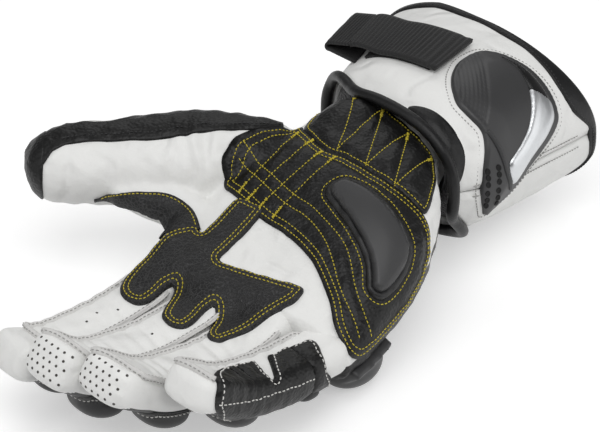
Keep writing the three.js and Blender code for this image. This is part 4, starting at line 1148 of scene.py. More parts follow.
def eased_level(triangles, low, rounds=30):
    """A hide that spans the hollows under it: drawn smooth, and nowhere below what carries it."""
    corners = np.array(triangles)
    pairs = np.concatenate([corners[:, [0, 1]], corners[:, [1, 2]], corners[:, [0, 2]]])
    pairs = np.unique(np.sort(pairs, 1), axis=0)
    z = low.copy()
    for _ in range(rounds):
        total, count = np.zeros(len(z)), np.zeros(len(z))
        for a, b in (pairs.T, pairs.T[::-1]):
            np.add.at(total, a, z[b])
            np.add.at(count, a, 1)
        z = np.maximum(low, 0.3 * z + 0.7 * total / np.maximum(count, 1))
    return z


def lay_grip(flat):
    """Flat points on the leather, with normals that point straight up."""
    return np.column_stack([flat, level(flat)]), np.tile((0, 0, 1.0), (len(flat), 1))


def lobe_of(x, y):
    """The finger whose root a flat point lies on, or none for the palm."""
    if x > root[0] + root[7] * (y - root[1]) - 1:
        return ""
    return next(f for f, low in LOBE_LOW.items() if y > low)


flat, edge_count, triangles = flat_mesh(GRIP, 1.3)
base = np.column_stack([flat, eased_level(triangles, level(flat))])
n = mesh_normals(base, triangles)
n *= np.sign(n[:, 2:])
height = 0.35 + GRIP_SKIN * eased(away_from(flat, GRIP) / 0.9 + 0.3) + 0.12 * folds(base, 8, 31)
patch = crowned(base, n, height, edge_count, triangles)
rows = sewn([inset(GRIP, k) for k in GRIP_SEAMS], lay_grip, touch_tree(*patch))
points, faces = joined(patch, *rows)
lobes = np.array([lobe_of(*points[list(f)].mean(0)[:2]) for f in faces])
is_thread = np.arange(len(faces)) >= len(patch[1])
for lobe in dict.fromkeys(lobes.tolist()):
    chosen = lobes == lobe
    p, f, _ = part_of(points, faces, chosen, points)
    made = piece(f"{lobe}_grip_lobe_leather" if lobe else "grip_patch_leather", p, f,
                 grip_leather, yellow_thread, finish_of=is_thread[chosen].astype(int).tolist())
    if lobe:
        blend_finger(made, lobe, "stall")
        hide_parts(f"{lobe}_grip_lobe")
    else:
        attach(made, "hand")
        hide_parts("grip_patch")


# Thumb web strip.
# The tail of the grip patch: a narrow strip of the same hide along the fold between palm and thumb, held
# by a single row of yellow thread along its upper edge.
WEB_EDGES = through(np.array([
    # upper edge, lower edge
    (11, 33, 51, 4.5, 42, 50), (17, 42, 53.5, 10, 47, 50.5), (18, 50, 56, 12, 52.5, 51),
    (16, 57, 57, 10, 58.5, 52), (10, 66, 57, 6.5, 66, 53), (6, 76, 54.5, 4.5, 75, 52),
    (4, 87, 50, 3.5, 86.5, 49),
], float), 60)
WEB_FACES = np.array([-0.62, -0.48, 0.62])
WEB_SKIN, WEB_SINK, WEB_OVERLAP = 1.15, 1.2, 1.9
across = np.linspace(0, WEB_OVERLAP, 13)
web = WEB_EDGES[:, None, :3] * (1 - across[None, :, None]) + WEB_EDGES[:, None, 3:] * across[None, :, None]
found = [leather_tree.find_nearest(Vector(p)) for p in web.reshape(-1, 3)]
snapped = np.array([f[0] for f in found]).reshape(web.shape)
facing = unit(np.array([f[1] for f in found]).reshape(web.shape))
facing *= np.sign((facing * WEB_FACES).sum(-1, keepdims=True))
for _ in range(6):
    facing[1:-1] = unit(facing[:-2] + facing[1:-1] + facing[2:])
    facing[:, 1:-1] = unit(facing[:, :-2] + facing[:, 1:-1] + facing[:, 2:])
    snapped[1:-1, 1:-1] = 0.5 * snapped[1:-1, 1:-1] + 0.125 * (
        snapped[:-2, 1:-1] + snapped[2:, 1:-1] + snapped[1:-1, :-2] + snapped[1:-1, 2:])
top = snapped + WEB_SKIN * facing
sunk = snapped - WEB_SINK * facing
strip = sheet(np.concatenate([sunk[:, :1], top, sunk[:, -1:]], 1)[:, ::-1])
upper_edge = resampled(top[2:-3, 1], 0.8)
sewing = stitches(upper_edge, facing[2:3, 1] + 0 * upper_edge)
made = layered("thumb_web_strip", (grip_leather, [strip]), (yellow_thread, [sewing]))
blend_thumb(made, "stall")
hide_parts("thumb_grip_strip")


# Little finger side panel.
# Two lobes of black cowhide on the outer side of the little finger with a notch between them, lapped over
# the white hide and topstitched in white.
SIDE_SKIN, SIDE_SEWING = 1.3, (2.3, 1.5, 0.28)
SIDE_LOBES = (  # s and distance round the finger from the middle of its palm face, toward the outer side
    [(20, -3.6), (27, -4.4), (32, -4.4), (36, 1), (41.5, 8.3), (45, 9.6), (43.2, 3), (40.3, -3.2), (45, -5),
     (56, -4.4), (66, -2.2), (75, 3), (80.5, 9), (81, 14), (78.5, 19), (70, 24.5), (56, 27), (40, 28),
     (20, 28.5)],
    [(21, -3.6), (15, -2.8), (10.5, -2.2), (8.6, 0.5), (9.6, 4), (13, 9), (13.5, 14), (9, 20), (7, 25),
     (12, 28.5), (21, 28.5)],
)
LOW_SEAM = np.array([(21, 14), (30, 13.4), (40, 13.3), (51, 13.3), (64, 14.4), (79, 17.5)], float)
SIDE_ROUND = np.radians(np.linspace(60, 260, 401))
white_thread = thread("white_bonded_nylon_thread", "#cfcdc8", "#f2f1ee")


def lay_side(flat):
    """Points (s, distance round) on the outer side of the little finger, with normals."""
    s, w = np.asarray(flat, float).T
    placed = []
    for a, b in zip(s, w):
        run = way_along(finger_skin("little", np.full(len(SIDE_ROUND), a), SIDE_ROUND))
        placed.append(np.interp(b + np.interp(math.pi / 2, SIDE_ROUND, run), run, SIDE_ROUND))
    angle = np.array(placed)
    at = finger_skin("little", s, angle)
    around = finger_skin("little", s, angle + 0.02) - finger_skin("little", s, angle - 0.02)
    n = unit(np.cross(around, finger_skin("little", s + 0.4, angle) - finger_skin("little", s - 0.4, angle)))
    return at, n * np.sign((n * (finger_skin("little", s, angle, 1.0) - at)).sum(1, keepdims=True))


for name, corners, part in (("little_side_end_panel", SIDE_LOBES[0], "tip"),
                            ("little_side_root_panel", SIDE_LOBES[1], "stall")):
    outline = rounded(corners, 2.2)
    flat, base, n, to_edge, net = patch_on(outline, 1.3, lay_side)
    height = (0.5 + SIDE_SKIN * eased(to_edge / 1.4 + 0.25) + 0.5 * eased(to_edge / 7)
              + 0.22 * folds(base, 7, 41))
    panel = crowned(base, n, height, *net)
    # the rows of thread stop short of the border where the two panels meet
    edge_row = inset(outline, 1.9)
    if part == "stall":
        lines = [edge_row[abs(edge_row[:, 0] - 20.5) > 1.6]]
    else:
        lines = [edge_row[edge_row[:, 0] > 22.3], LOW_SEAM]
    rows = sewn(lines, lay_side, touch_tree(*panel), *SIDE_SEWING)
    made = layered(name, (black_leather, [panel]), (white_thread, rows))
    blend_finger(made, "little", part)
    if part == "tip":
        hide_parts("little_side_panel")


# Finger guards.
# Moulded guards on the backs of the stalls: a low one over the root and a domed one beyond the middle
# joint, black polyurethane on a black leather pad that is sewn round in white.
GUARD_FROM, GUARD_TO, GUARD_GRID, GUARD_SQUARE = math.radians(214), math.radians(326), 34, 2.45
DOMES = {"index": 6.5, "middle": 8.0, "ring": 5.5, "little": 4.5}
STALL_DOME, GUARD_PAD, GUARD_SEWING = 3.4, 0.9, (2.3, 1.5, 0.27)
STALL_GUARD_FROM, STALL_GUARD_SHORT = 12.6, 6.6  # from the root, short of the middle joint
TIP_GUARD_FROM, TIP_GUARD_TO = 7.0, 37.0  # past the middle joint
SEWING_CORNERS = np.array([(0.07, 0.06), (0.93, 0.06), (0.93, 0.94), (0.07, 0.94), (0.07, 0.06)])


def shell(outer, inner):
    """A closed sheet between two grids of points."""
    m, n = outer.shape[:2]
    front, back = sheet(outer), sheet(inner)
    at = np.arange(m * n).reshape(m, n)
    ring = np.concatenate([at[0, :-1], at[:-1, -1], at[-1, :0:-1], at[:0:-1, 0]]).tolist()
    walls = [(a, b, b + m * n, a + m * n) for a, b in zip(ring, ring[1:] + ring[:1])]
    turned = [tuple(i + m * n for i in f[::-1]) for f in back[1]]
    return np.vstack([front[0], back[0]]), front[1] + turned + walls


for name, d in fingers.items():
    for part, low, high in (("stall", STALL_GUARD_FROM, d.reach - STALL_GUARD_SHORT),
                            ("tip", d.reach + TIP_GUARD_FROM, d.reach + TIP_GUARD_TO)):
        s = np.linspace(low, high, GUARD_GRID)[:, None]
        angle = np.linspace(GUARD_FROM, GUARD_TO, GUARD_GRID)[None]
        u, v = (s - low) / (high - low), (angle - GUARD_FROM) / (GUARD_TO - GUARD_FROM)
        lens = np.clip(1 - (abs(2 * u - 1) ** 3 + abs(2 * v - 1) ** 3), 0, 1)
        to_edge = np.minimum(np.minimum(u, 1 - u) * (high - low), np.minimum(v, 1 - v) * 26)
        pad = 0.5 + GUARD_PAD * eased(to_edge / 2.2)
        if part == "stall":
            dome = STALL_DOME * lens ** 0.6
        else:
            dome = DOMES[name] * np.clip(1 - ((u - 0.56) / 0.36) ** 2 - ((v - 0.45) / 0.36) ** 2, 0, 1) ** 0.6
        outer = d.place(s + 0 * angle, angle + 0 * s, pad + dome, 0.0, GUARD_SQUARE)
        inner = d.place(s + 0 * angle, angle + 0 * s, -0.8 + 0 * pad, 0.0, GUARD_SQUARE)
        guard = shell(outer, inner)
        mid_dome = 0.25 * (dome[1:, 1:] + dome[:-1, 1:] + dome[1:, :-1] + dome[:-1, :-1]).reshape(-1)
        looks = [1 if h > 0.4 else 0 for h in mid_dome] + [0] * (len(guard[1]) - len(mid_dome))
        edge = np.vstack([np.linspace(a, b, 30) for a, b in zip(SEWING_CORNERS, SEWING_CORNERS[1:])])
        s_row = low + edge[:, 0] * (high - low)
        a_row = GUARD_FROM + edge[:, 1] * (GUARD_TO - GUARD_FROM)
        path = d.place(s_row, a_row, 1.45, 0.0, GUARD_SQUARE)
        sewing = stitches(path, unit(path - d.frame(s_row)[0]), *GUARD_SEWING)
        made = piece(f"{name}_{part}_guard_moulded", *joined(guard, sewing),
                     black_leather, black_tpu, white_thread, finish_of=looks + [2] * len(sewing[1]))
        blend_finger(made, name, part)
        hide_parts(f"{name}_{part}_guard")


# Knuckle shield.
# One hard moulding over the knuckles: four domes on a plate that follows the back of the hand, in dark grey
# polyurethane, sewn to the back along its edge. The glove lies on the tops of the domes.
REST_LEVEL = 5.0
KNUCKLE_BACK, KNUCKLE_LONG, KNUCKLE_TALL, KNUCKLE_FLAT = 18.0, 15.5, 11.0, 1.2
SHIELD_PLATE, SHIELD_FRONT, SHIELD_LENGTH = 4.0, 3.0, 28.0
BAR_LONG, BAR_TALL = 11.0, 7.5
SHIELD_VOXEL, SHIELD_SOFTEN = 0.0011, 8
turn = np.radians(np.arange(0, 360, 10.0))
bodies = []
for name, d in fingers.items():
    hub = d.frame(0.0)[0]
    centre = np.array([hub[0] + KNUCKLE_BACK, hub[1], REST_LEVEL + KNUCKLE_TALL - KNUCKLE_FLAT])
    size = np.array([KNUCKLE_LONG, d.half[0] + 1.5, KNUCKLE_TALL])
    bodies.append(skin([
        centre + size * np.column_stack([
            np.cos(t) * np.cos(turn), np.cos(t) * np.sin(turn), np.full(len(turn), math.sin(t)),
        ])
        for t in np.radians(np.arange(-85, 86, 10.0))
    ]))
bodies.append(skin([
    np.column_stack([
        root[0] + root[7] * (y - root[1]) + KNUCKLE_BACK + BAR_LONG * np.cos(turn),
        np.full(len(turn), y),
        REST_LEVEL + KNUCKLE_TALL + BAR_TALL * np.sin(turn),
    ])
    for y in np.linspace(fingers["little"].frame(0.0)[0][1], fingers["index"].frame(0.0)[0][1], 24)
]))
along = np.linspace(0, 1, 30)[:, None]
angle = np.radians(np.linspace(198, 342, 60))[None]
x = root[0] + SHIELD_FRONT + SHIELD_LENGTH * along + 0 * angle
bodies.append(shell(hand_point(x, angle + 0 * x, SHIELD_PLATE + 0.3), hand_point(x, angle + 0 * x, -1.0)))
shield, shield_faces = melted("shield_core", bodies, SHIELD_VOXEL, SHIELD_SOFTEN)
shield[:, 2] = np.maximum(shield[:, 2], REST_LEVEL + 0.02)
made = piece("knuckle_shield_moulded", shield, shield_faces, grey_tpu)
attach(made, "hand")
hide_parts("knuckle_shield")


# Back of the hand.
# Topstitched seams on the black back: four rows of white bonded thread that run from the shield to the
# wrist, sewn through the hide.
BACK_ROW_FROM, BACK_ROW_TO, BACK_ROW_ANGLES = 42, 96, (232, 250, 290, 308)
rows = []
x = np.linspace(BACK_ROW_FROM, BACK_ROW_TO, 90)
for angle in np.radians(BACK_ROW_ANGLES):
    at = hand_point(x, angle + 0 * x, 6.0)
    inward = unit(hand_point(x, angle + 0 * x, 0.0) - at)
    hits = [leather_tree.ray_cast(Vector(a), Vector(b))[0] for a, b in zip(at, inward)]
    path = np.array([h if h is not None else a for h, a in zip(hits, at)])
    rows.append(stitches(path, -inward))
made = piece("back_topstitching", *joined(*rows), white_thread)
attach(made, "hand")


# Hand lining.
# The inside of the hand: a lining of knitted polyester, sewn in with the seams and seen only through the
# mouth of the cuff.
LINING_OUTSIDE, LINING_INSIDE = -4.6, -5.6  # from the plain form of the hand

# Brushed knit: dark charcoal with fine courses about 1 mm apart and a soft nap that lightens its edges.
lining_fabric, tree, surface, tone, where = finish(
    "charcoal_brushed_knit_polyester", "#1d1d1f", "#3a3a3d",
    {"Roughness": 0.95, "Sheen Weight": 0.3, "IOR": 1.5})
course = node(tree, "ShaderNodeTexWave", {
    "Vector": where, "Scale": every(3.2), "Distortion": 1.5, "Detail": 2.0,
})
nap = node(tree, "ShaderNodeTexNoise", {"Vector": where, "Scale": every(1.5), "Detail": 4.0})
tree.links.new(nap.outputs["Fac"], tone)
knit = node(tree, "ShaderNodeBump", {"Height": course.outputs["Fac"], "Strength": 0.5, "Distance": 0.0005})
tree.links.new(knit.outputs["Normal"], surface.inputs["Normal"])
x_run = np.arange(111, HAND_FRONT, -3.0)
outer = [hand_point(np.full(len(ROUND), x), ROUND, LINING_OUTSIDE) for x in x_run]
inner = [hand_point(np.full(len(ROUND), max(x, -1.0)), ROUND, LINING_INSIDE) for x in x_run[::-1]]
made = piece("hand_lining_knit", *skin(outer[::-1] + inner[::-1]), lining_fabric)
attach(made, "hand")
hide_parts("hand_lining")


# Cuff panels.
# The gauntlet: a palm half and a back half of white cowhide over thin foam, seamed at both sides, with a
# knitted lining sewn in. The rim dips on the outer side, and the front edge is cut back everywhere else.
CUFF_SQUARE = 2.35
CUFF_FRONT = 104.0
CUFF = through(np.array([
    # x, y, z, half width, up, down, shear
    (CUFF_FRONT, 2, 52, 38.5, 28, 28, 0.14),
    (117, 1, 52, 46, 34, 35, 0.08),
    (140, 1, 52, 51, 36, 39, 0),
    (165, 2.5, 51, 56, 37, 40, 0),
    (CUFF_RIM, RIM_MIDDLE, 50, 61, 37, 40, 0),
], float), 90)
RIM_CUT, RIM_CUT_LENGTH, RIM_CUT_FROM, RIM_CUT_TO = 12.0, 40.0, 66.0, 196.0
FRONT_CUT, FRONT_CUT_END, FRONT_CUT_MIDDLE, FRONT_CUT_WIDTH, FRONT_CUT_EASE = 20.0, 127.0, 130.0, 110.0, 60.0
CUFF_WALL = 3.0


def cuff_point(station, angle, off=0.0):
    """Point on the cuff: angle 0 at the thumb side, 90 degrees at the palm."""
    station, angle, off = np.broadcast_arrays(*(np.asarray(v, float) for v in (station, angle, off)))
    from_middle = (np.degrees(angle) - FRONT_CUT_MIDDLE + 180) % 360 - 180
    front = eased((abs(from_middle) - FRONT_CUT_WIDTH / 2) / FRONT_CUT_EASE)
    to_front = np.clip((FRONT_CUT_END - station) / (FRONT_CUT_END - CUFF_FRONT), 0, 1)
    station = station + FRONT_CUT * front * to_front
    v = [np.interp(station, CUFF[:, 0], CUFF[:, i]) for i in range(7)]
    y = (v[3] + off) * power(np.cos(angle), 2 / CUFF_SQUARE)
    rise = power(np.sin(angle), 2 / CUFF_SQUARE)
    z = rise * (off + np.where(rise > 0, v[4], v[5]))
    turned = np.clip((np.degrees(angle) - RIM_CUT_FROM) / (RIM_CUT_TO - RIM_CUT_FROM), 0, 1)
    to_rim = np.clip((station - CUFF_RIM + RIM_CUT_LENGTH) / RIM_CUT_LENGTH, 0, 1)
    cut = RIM_CUT * np.sin(np.pi * turned) * to_rim
    return np.stack([station + v[6] * y - cut, v[1] + y, v[2] + z], -1)


def ringed(loops):
    """A skin through loops that close on themselves, the last one joined to the first."""
    loops = np.asarray(loops, float)
    at = np.arange(loops.shape[0] * loops.shape[1]).reshape(loops.shape[:2])
    on = np.roll(at, -1, 0)
    quads = np.stack([at, np.roll(at, -1, 1), np.roll(on, -1, 1), on], -1).reshape(-1, 4)
    return loops.reshape(-1, 3), [tuple(q) for q in quads.tolist()]


for name, low, high, node_name in (("cuff_palm_leather", 0.4, 179.6, "cuff_palm_panel"),
                                   ("cuff_back_leather", 180.4, 359.6, "cuff_back_panel")):
    station = np.linspace(CUFF_FRONT - 0.6, CUFF_RIM - 0.6, 56)[:, None]
    angle = np.radians(np.linspace(low, high, 110))[None]
    seam = eased(np.degrees(np.minimum(angle - angle[0, 0], angle[0, -1] - angle)) / 4)
    plain = cuff_point(station, angle)
    uneven = folds(plain.reshape(-1, 3), 22, 51).reshape(plain.shape[:2]) * 0.3
    outer = cuff_point(station, angle, (0.55 + uneven) * seam - 0.5 * (1 - seam))
    made = piece(name, *shell(outer, cuff_point(station, angle, -CUFF_WALL + 0 * station)), white_leather)
    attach(made, "hand")
    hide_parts(node_name)
rows = []
station = np.linspace(CUFF_FRONT + 6, CUFF_RIM - 14, 120)
for seam_angle in (0.0, math.pi):
    for side in (-2.4, 2.4):
        angle = seam_angle + math.radians(side) * 1.3
        path = cuff_point(station, angle, 0.45)
        rows.append(stitches(path, unit(cuff_point(station, angle, 1.5) - path)))
made = piece("cuff_side_stitching", *joined(*rows), grey_thread)
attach(made, "hand")
CUFF_ROUND = np.radians(np.arange(0, 360, 3.0))
stations = np.linspace(CUFF_FRONT + 8, CUFF_RIM - 1.5, 24)
profile = np.vstack([
    np.column_stack([stations, np.full(len(stations), -CUFF_WALL - 0.3)]),
    np.column_stack([stations[::-1], np.full(len(stations), -CUFF_WALL - 1.3)]),
])
loops = [cuff_point(profile[:, 0], a, profile[:, 1]) for a in CUFF_ROUND]
made = piece("cuff_lining_knit", *ringed(loops), lining_fabric)
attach(made, "hand")
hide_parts("cuff_lining")


# Rim binding.
# A strip of smooth black leather folded over the rim and sewn through, broad on the palm side and narrow
# on the back, with a row of thread near its edge.
BAND = np.array([  # angle, station where the binding starts
    (0, 184), (60, 184), (90, 184.5), (112, 183), (128, 180), (140, 176), (150, 174.5), (160, 175.5),
    (168, 180), (175, 184.5), (200, 186), (330, 185), (360, 184),
], float)
BAND_START = np.array([(0, -0.4), (0.1, 0.8), (0.6, 1.25), (2, 1.4)])  # from the start of the binding, height
BAND_END = np.array([  # station, height
    (186.5, 1.5), (189, 1.4), (190.3, 0.8), (190.9, -0.6), (191.0, -2.2), (190.6, -3.8), (189.6, -4.7),
    (187, -5.0), (184, -5.0), (183.6, -4.2), (186, -3.0), (187, -1.5),
])

# Smooth black binding leather: tighter grained and glossier than the pads, with a faint unevenness.
smooth_leather, tree, surface, tone, where = finish(
    "black_smooth_binding_leather", "#0a0a0b", "#161617",
    {"Roughness": 0.42, "Specular IOR Level": 0.35, "IOR": 1.5})
grain = node(tree, "ShaderNodeTexVoronoi", {"Vector": where, "Scale": every(0.9)}, feature="SMOOTH_F1")
cloud = node(tree, "ShaderNodeTexNoise", {"Vector": where, "Scale": every(6), "Detail": 4.0})
tree.links.new(cloud.outputs["Fac"], tone)
fine = node(tree, "ShaderNodeBump", {
    "Height": grain.outputs["Distance"], "Strength": 0.25, "Distance": 0.0003,
}, invert=True)
wavy = node(tree, "ShaderNodeBump", {
    "Height": cloud.outputs["Fac"], "Strength": 0.3, "Distance": 0.0012, "Normal": fine.outputs["Normal"],
})
tree.links.new(wavy.outputs["Normal"], surface.inputs["Normal"])
loops, sewing_line = [], []
for a in CUFF_ROUND:
    start = np.interp(math.degrees(a), BAND[:, 0], BAND[:, 1])
    profile = np.vstack([BAND_START + (start, 0), BAND_END])
    loops.append(cuff_point(profile[:, 0], a, profile[:, 1]))
    sewing_line.append(cuff_point(start + 1.9, a, 1.35))
band = ringed(loops)
all_round = np.append(CUFF_ROUND, 0.0)
outs = unit(cuff_point(180.0, all_round, 2.0) - cuff_point(180.0, all_round, 0.0))
sewing = stitches(np.array(sewing_line + sewing_line[:1]), outs)
made = layered("rim_binding_leather", (smooth_leather, [band]), (black_thread, [sewing]))
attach(made, "hand")
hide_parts("rim_binding")


# Wrist roll.
# A fat piping of the same smooth leather, folded round a foam core and sewn in along the front edge of
# the cuff. It is slightly puckered all round.
ROLL_RADIUS, ROLL_CENTRE = 2.6, 100.6
turn = np.radians(np.arange(0, 360, 15.0))
hubs = cuff_point(ROLL_CENTRE, CUFF_ROUND, ROLL_RADIUS - 0.4)
outs = cuff_point(ROLL_CENTRE, CUFF_ROUND, 1.0) - cuff_point(ROLL_CENTRE, CUFF_ROUND, 0.0)
outs = unit(outs * (0, 1, 1))
ahead = unit(np.roll(hubs, -1, 0) - np.roll(hubs, 1, 0))
aside = unit(np.cross(outs, ahead))
fat = ROLL_RADIUS * (1 + 0.05 * np.sin(11 * CUFF_ROUND) * np.sin(3 * CUFF_ROUND + 1))
loops = hubs[:, None] + fat[:, None, None] * (np.sin(turn)[None, :, None] * outs[:, None]
                                              + np.cos(turn)[None, :, None] * aside[:, None])
made = piece("wrist_roll_piping", *ringed(loops), smooth_leather)
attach(made, "hand")
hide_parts("wrist_roll")


# Wrist gusset.
# A sleeve of black elastic mesh between the hand and the cuff that lets the wrist bend, sewn in at both
# ends and gathered in small folds.
GUSSET_END = 112.0

# Elastic mesh: black yarn with small eyes about 1.2 mm apart, drawn at 1.8 mm; the eyes are painted darker,
# as painted shade in the holes.
mesh_fabric, tree, surface, tone, where = finish(
    "black_knitted_elastic_mesh", "#070708", "#232325", {"Roughness": 0.8, "Sheen Weight": 0.2, "IOR": 1.5})
eyes = node(tree, "ShaderNodeTexVoronoi", {"Vector": where, "Scale": every(1.8), "Randomness": 0.25})
hole = node(tree, "ShaderNodeMapRange", {
    "Value": eyes.outputs["Distance"], "From Min": 0.2, "From Max": 0.5,
})
# painted shade: the eyes of the mesh take the darker tone
tree.links.new(hole.outputs["Result"], tone)
yarn = node(tree, "ShaderNodeBump", {"Height": hole.outputs["Result"], "Strength": 0.8, "Distance": 0.0007})
tree.links.new(yarn.outputs["Normal"], surface.inputs["Normal"])
share = np.linspace(0, 1, 14)[:, None]
loops = []
for a in CUFF_ROUND:
    low, high = hand_point(GUSSET_END - 2.0, a, 0.9), cuff_point(CUFF_FRONT + 1.0, a, -CUFF_WALL)
    out = unit(cuff_point(CUFF_FRONT, a, 1.0) - cuff_point(CUFF_FRONT, a, 0.0))
    gathers = np.sin(math.pi * share) * (1.2 + 0.7 * np.sin(share * 5 * math.pi))
    path = low * (1 - share) + high * share + gathers * unit(out + (-0.6, 0, 0))
    loops.append(np.vstack([path, path[::-1] - 0.9 * out + (0.9, 0, 0)]))
made = piece("wrist_gusset_mesh", *ringed(loops), mesh_fabric)
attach(made, "hand")
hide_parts("wrist_gusset")


# Cuff soft panel.
# A half moon of black leather over foam behind the roll, on the outer side of the cuff, sewn down round
# its edge so that it swells between the seams.
ROUND_RUN = np.radians(np.linspace(20, 250, 921))
round_way = way_along(cuff_point(140.0, ROUND_RUN))


def cuff_flat(pairs):
    """Pairs of x and angle in degrees as flat points in millimetres."""
    pairs = np.asarray(pairs, float)
    return np.stack([pairs[:, 0], np.interp(np.radians(pairs[:, 1]), ROUND_RUN, round_way)], 1)


def lay_cuff(flat):
    """Flat points (x, way round) laid on the cuff, with normals."""
    x, way = np.asarray(flat, float).T
    angle = np.interp(way, round_way, ROUND_RUN)
    station = x.copy()
    for _ in range(12):
        station += x - cuff_point(station, angle)[:, 0]
    at = cuff_point(station, angle, 0.4)
    around = cuff_point(station, angle + 0.02) - cuff_point(station, angle - 0.02)
    n = unit(np.cross(around, cuff_point(station + 0.5, angle) - cuff_point(station - 0.5, angle)))
    outward = cuff_point(station, angle, 1.0) - cuff_point(station, angle)
    return at, n * np.sign((n * outward).sum(1, keepdims=True))


MOON = rounded(cuff_flat([
    (104.5, 97), (107, 101.5), (108.4, 111), (108, 122), (106.7, 137), (105.3, 150), (103.5, 159), (101, 170),
    (98, 177), (95.5, 176), (95, 165), (95.5, 150), (96.5, 137), (99, 120), (102, 105),
]), 4)
flat, base, n, to_edge, net = patch_on(MOON, 1.2, lay_cuff)
height = 0.3 + 1.3 * eased(to_edge / 4.5) + 0.25 * folds(base, 6, 61) * eased(to_edge / 3)
made = piece("cuff_soft_panel", *crowned(base, n, height, *net), smooth_leather)
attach(made, "hand")
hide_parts("soft_panel")


# Cuff guard.
# A moulded guard of dark grey polyurethane over the wrist bone: ribbed at one end, vented at the other,
# with a ridge beside the vents. It is let into the white hide, which is sewn round it.
GUARD = rounded(cuff_flat([
    (146.8, 97.8), (153.6, 99.2), (157, 101.8), (160.3, 107.2), (162, 114.4), (163.4, 124), (162.8, 135.6),
    (161, 151.4), (159, 161), (152, 169.3), (138.3, 179), (127, 188.7), (119, 195), (114.5, 205),
    (109.8, 189), (108.6, 180), (109.8, 164), (113.8, 150), (116.2, 141.4), (115.4, 129.6), (116.1, 117.4),
    (122.7, 107.2), (130.2, 101), (139.7, 97.6),
]), 4)
GROOVE_START, GROOVE_END = cuff_flat([(151, 103), (119, 139)])
GROOVES, GROOVE_PITCH, GROOVE_DEPTH, GUARD_CLEAR = 8, 1.75, 0.75, 20.0
RIDGE = cuff_flat([(117.6, 143), (118.1, 152.6), (118.4, 161.7), (119.3, 172.6), (123.4, 183.8)])
RIDGE_SHAPE = np.array([(-1.3, -0.6), (-0.9, 0.5), (-0.3, 1.15), (0.3, 1.15), (0.9, 0.5), (1.3, -0.6)])
VENT_COLUMNS, VENT_ROWS, VENT_LONG, VENT_WIDE = (111.0, 115.7), 6, 1.4, 1.05
VENT_FIRST, VENT_PITCH, VENT_STAGGER = 168.3, 4.4, 0.4  # degrees round the cuff
VENT_RINGS = ((1.15, -0.4), (1.08, 0.3), (0.9, 0.26), (0.55, 0.12))  # share of the radius, height
flat, base, n, to_edge, net = patch_on(GUARD, 0.85, lay_cuff)
along = unit(GROOVE_END - GROOVE_START)
off_line = (flat - GROOVE_START) @ np.array([along[1], -along[0]]) * (-1 if along[1] > 0 else 1)
in_ribs = eased((off_line + 0.6) / 0.8) * eased((GROOVES * GROOVE_PITCH - off_line) / 1.0)
in_ribs *= eased((to_edge - 1.6) / 1.6)
groove = 0.5 - 0.5 * np.cos(2 * math.pi * off_line / GROOVE_PITCH)
height = 0.4 + 1.5 * eased(to_edge / 1.3) + 1.9 * eased(to_edge / 12) - GROOVE_DEPTH * in_ribs * groove
guard = crowned(base, n, height, *net)
guard_tree = touch_tree(*guard)


def lay_guard(flat):
    return laid_over(flat, lay_cuff, guard_tree, GUARD_CLEAR)


at, up = lay_guard(resampled(rounded(RIDGE, 6, False), 0.8))
ridge = swept(at, up, RIDGE_SHAPE)
# Vents: near-black matt dishes on the guard; their black is painted shade for the depth of the vent holes.
vent_shade_tpu = tpu("vent_painted_shade_polyurethane", "#040404", "#080808", 0.85)
turn = np.radians(np.arange(0, 360, 15.0))
vents = []
for column, x in enumerate(VENT_COLUMNS):
    for k in range(VENT_ROWS):
        angle = VENT_FIRST + VENT_PITCH * k - VENT_STAGGER * column
        base, n = lay_cuff(cuff_flat([(x + 0.3 * max(0, k - 3), angle)]))
        above, down = Vector(base[0] + GUARD_CLEAR * n[0]), Vector(-n[0])
        at, up = (np.array(v) for v in guard_tree.ray_cast(above, down)[:2])
        up = up if up @ n[0] > 0 else -up
        side = unit(np.cross(up, (1.0, 0, 0.25)))
        ahead = np.cross(side, up)
        ring = VENT_LONG * np.cos(turn)[:, None] * side + VENT_WIDE * np.sin(turn)[:, None] * ahead
        vents.append(skin([at + r * ring + h * up for r, h in VENT_RINGS]))
made = layered("cuff_guard_moulded", (grey_tpu, [guard, ridge]), (vent_shade_tpu, vents))
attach(made, "hand")
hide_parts("cuff_guard")
at, up = lay_cuff(inset(GUARD, -2.2))
made = piece("cuff_guard_stitching", *stitches(at + 0.15 * up, up), grey_thread)
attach(made, "hand")


# Guard plate.
# A crescent of metallised plastic set along the outer edge of the guard, its upper third painted glossy black
# as a painted reflection of the dark that the mirror shows there.
# It is moulded separately and glued into the guard.
CRESCENT = rounded(cuff_flat([
    (156, 109), (157.7, 116.8), (158.3, 126), (157.8, 136.4), (156.8, 149), (154.7, 157.5), (147.5, 165),
    (133.8, 174), (124.2, 182.6), (120.4, 174.5), (120.6, 167.5), (128.7, 161.6), (136.6, 154.7),
    (143.4, 145.2), (149.7, 134.2), (154.6, 121.5),
]), 3)
# the line that parts the painted dark reflection from the bright mirror, and a point on the side of the
# painted reflection
DARK_REFLECTION_FROM, DARK_REFLECTION_TO, DARK_REFLECTION_SIDE = cuff_flat([(149.5, 136), (155.5, 147), (157, 116)])


def scuffed(name, dark, light, smooth, rough, values):
    """A glossy plastic with fine scuffs that run through its tone and its roughness."""
    made, tree, surface, tone, where = finish(name, dark, light, values)
    scuff = node(tree, "ShaderNodeTexNoise", {
        "Vector": where, "Scale": every(4), "Detail": 5.0, "Roughness": 0.7,
    })
    shine = node(tree, "ShaderNodeMapRange", {
        "Value": scuff.outputs["Fac"], "To Min": smooth, "To Max": rough,
    })
    tree.links.new(shine.outputs["Result"], surface.inputs["Roughness"])
    tree.links.new(scuff.outputs["Fac"], tone)
    return made


# Metallised plastic: a bright grey mirror, slightly softened.
silver = scuffed("vacuum_metallised_plastic", "#c2c4c6", "#d4d6d8", 0.28, 0.4, {"Metallic": 1.0})
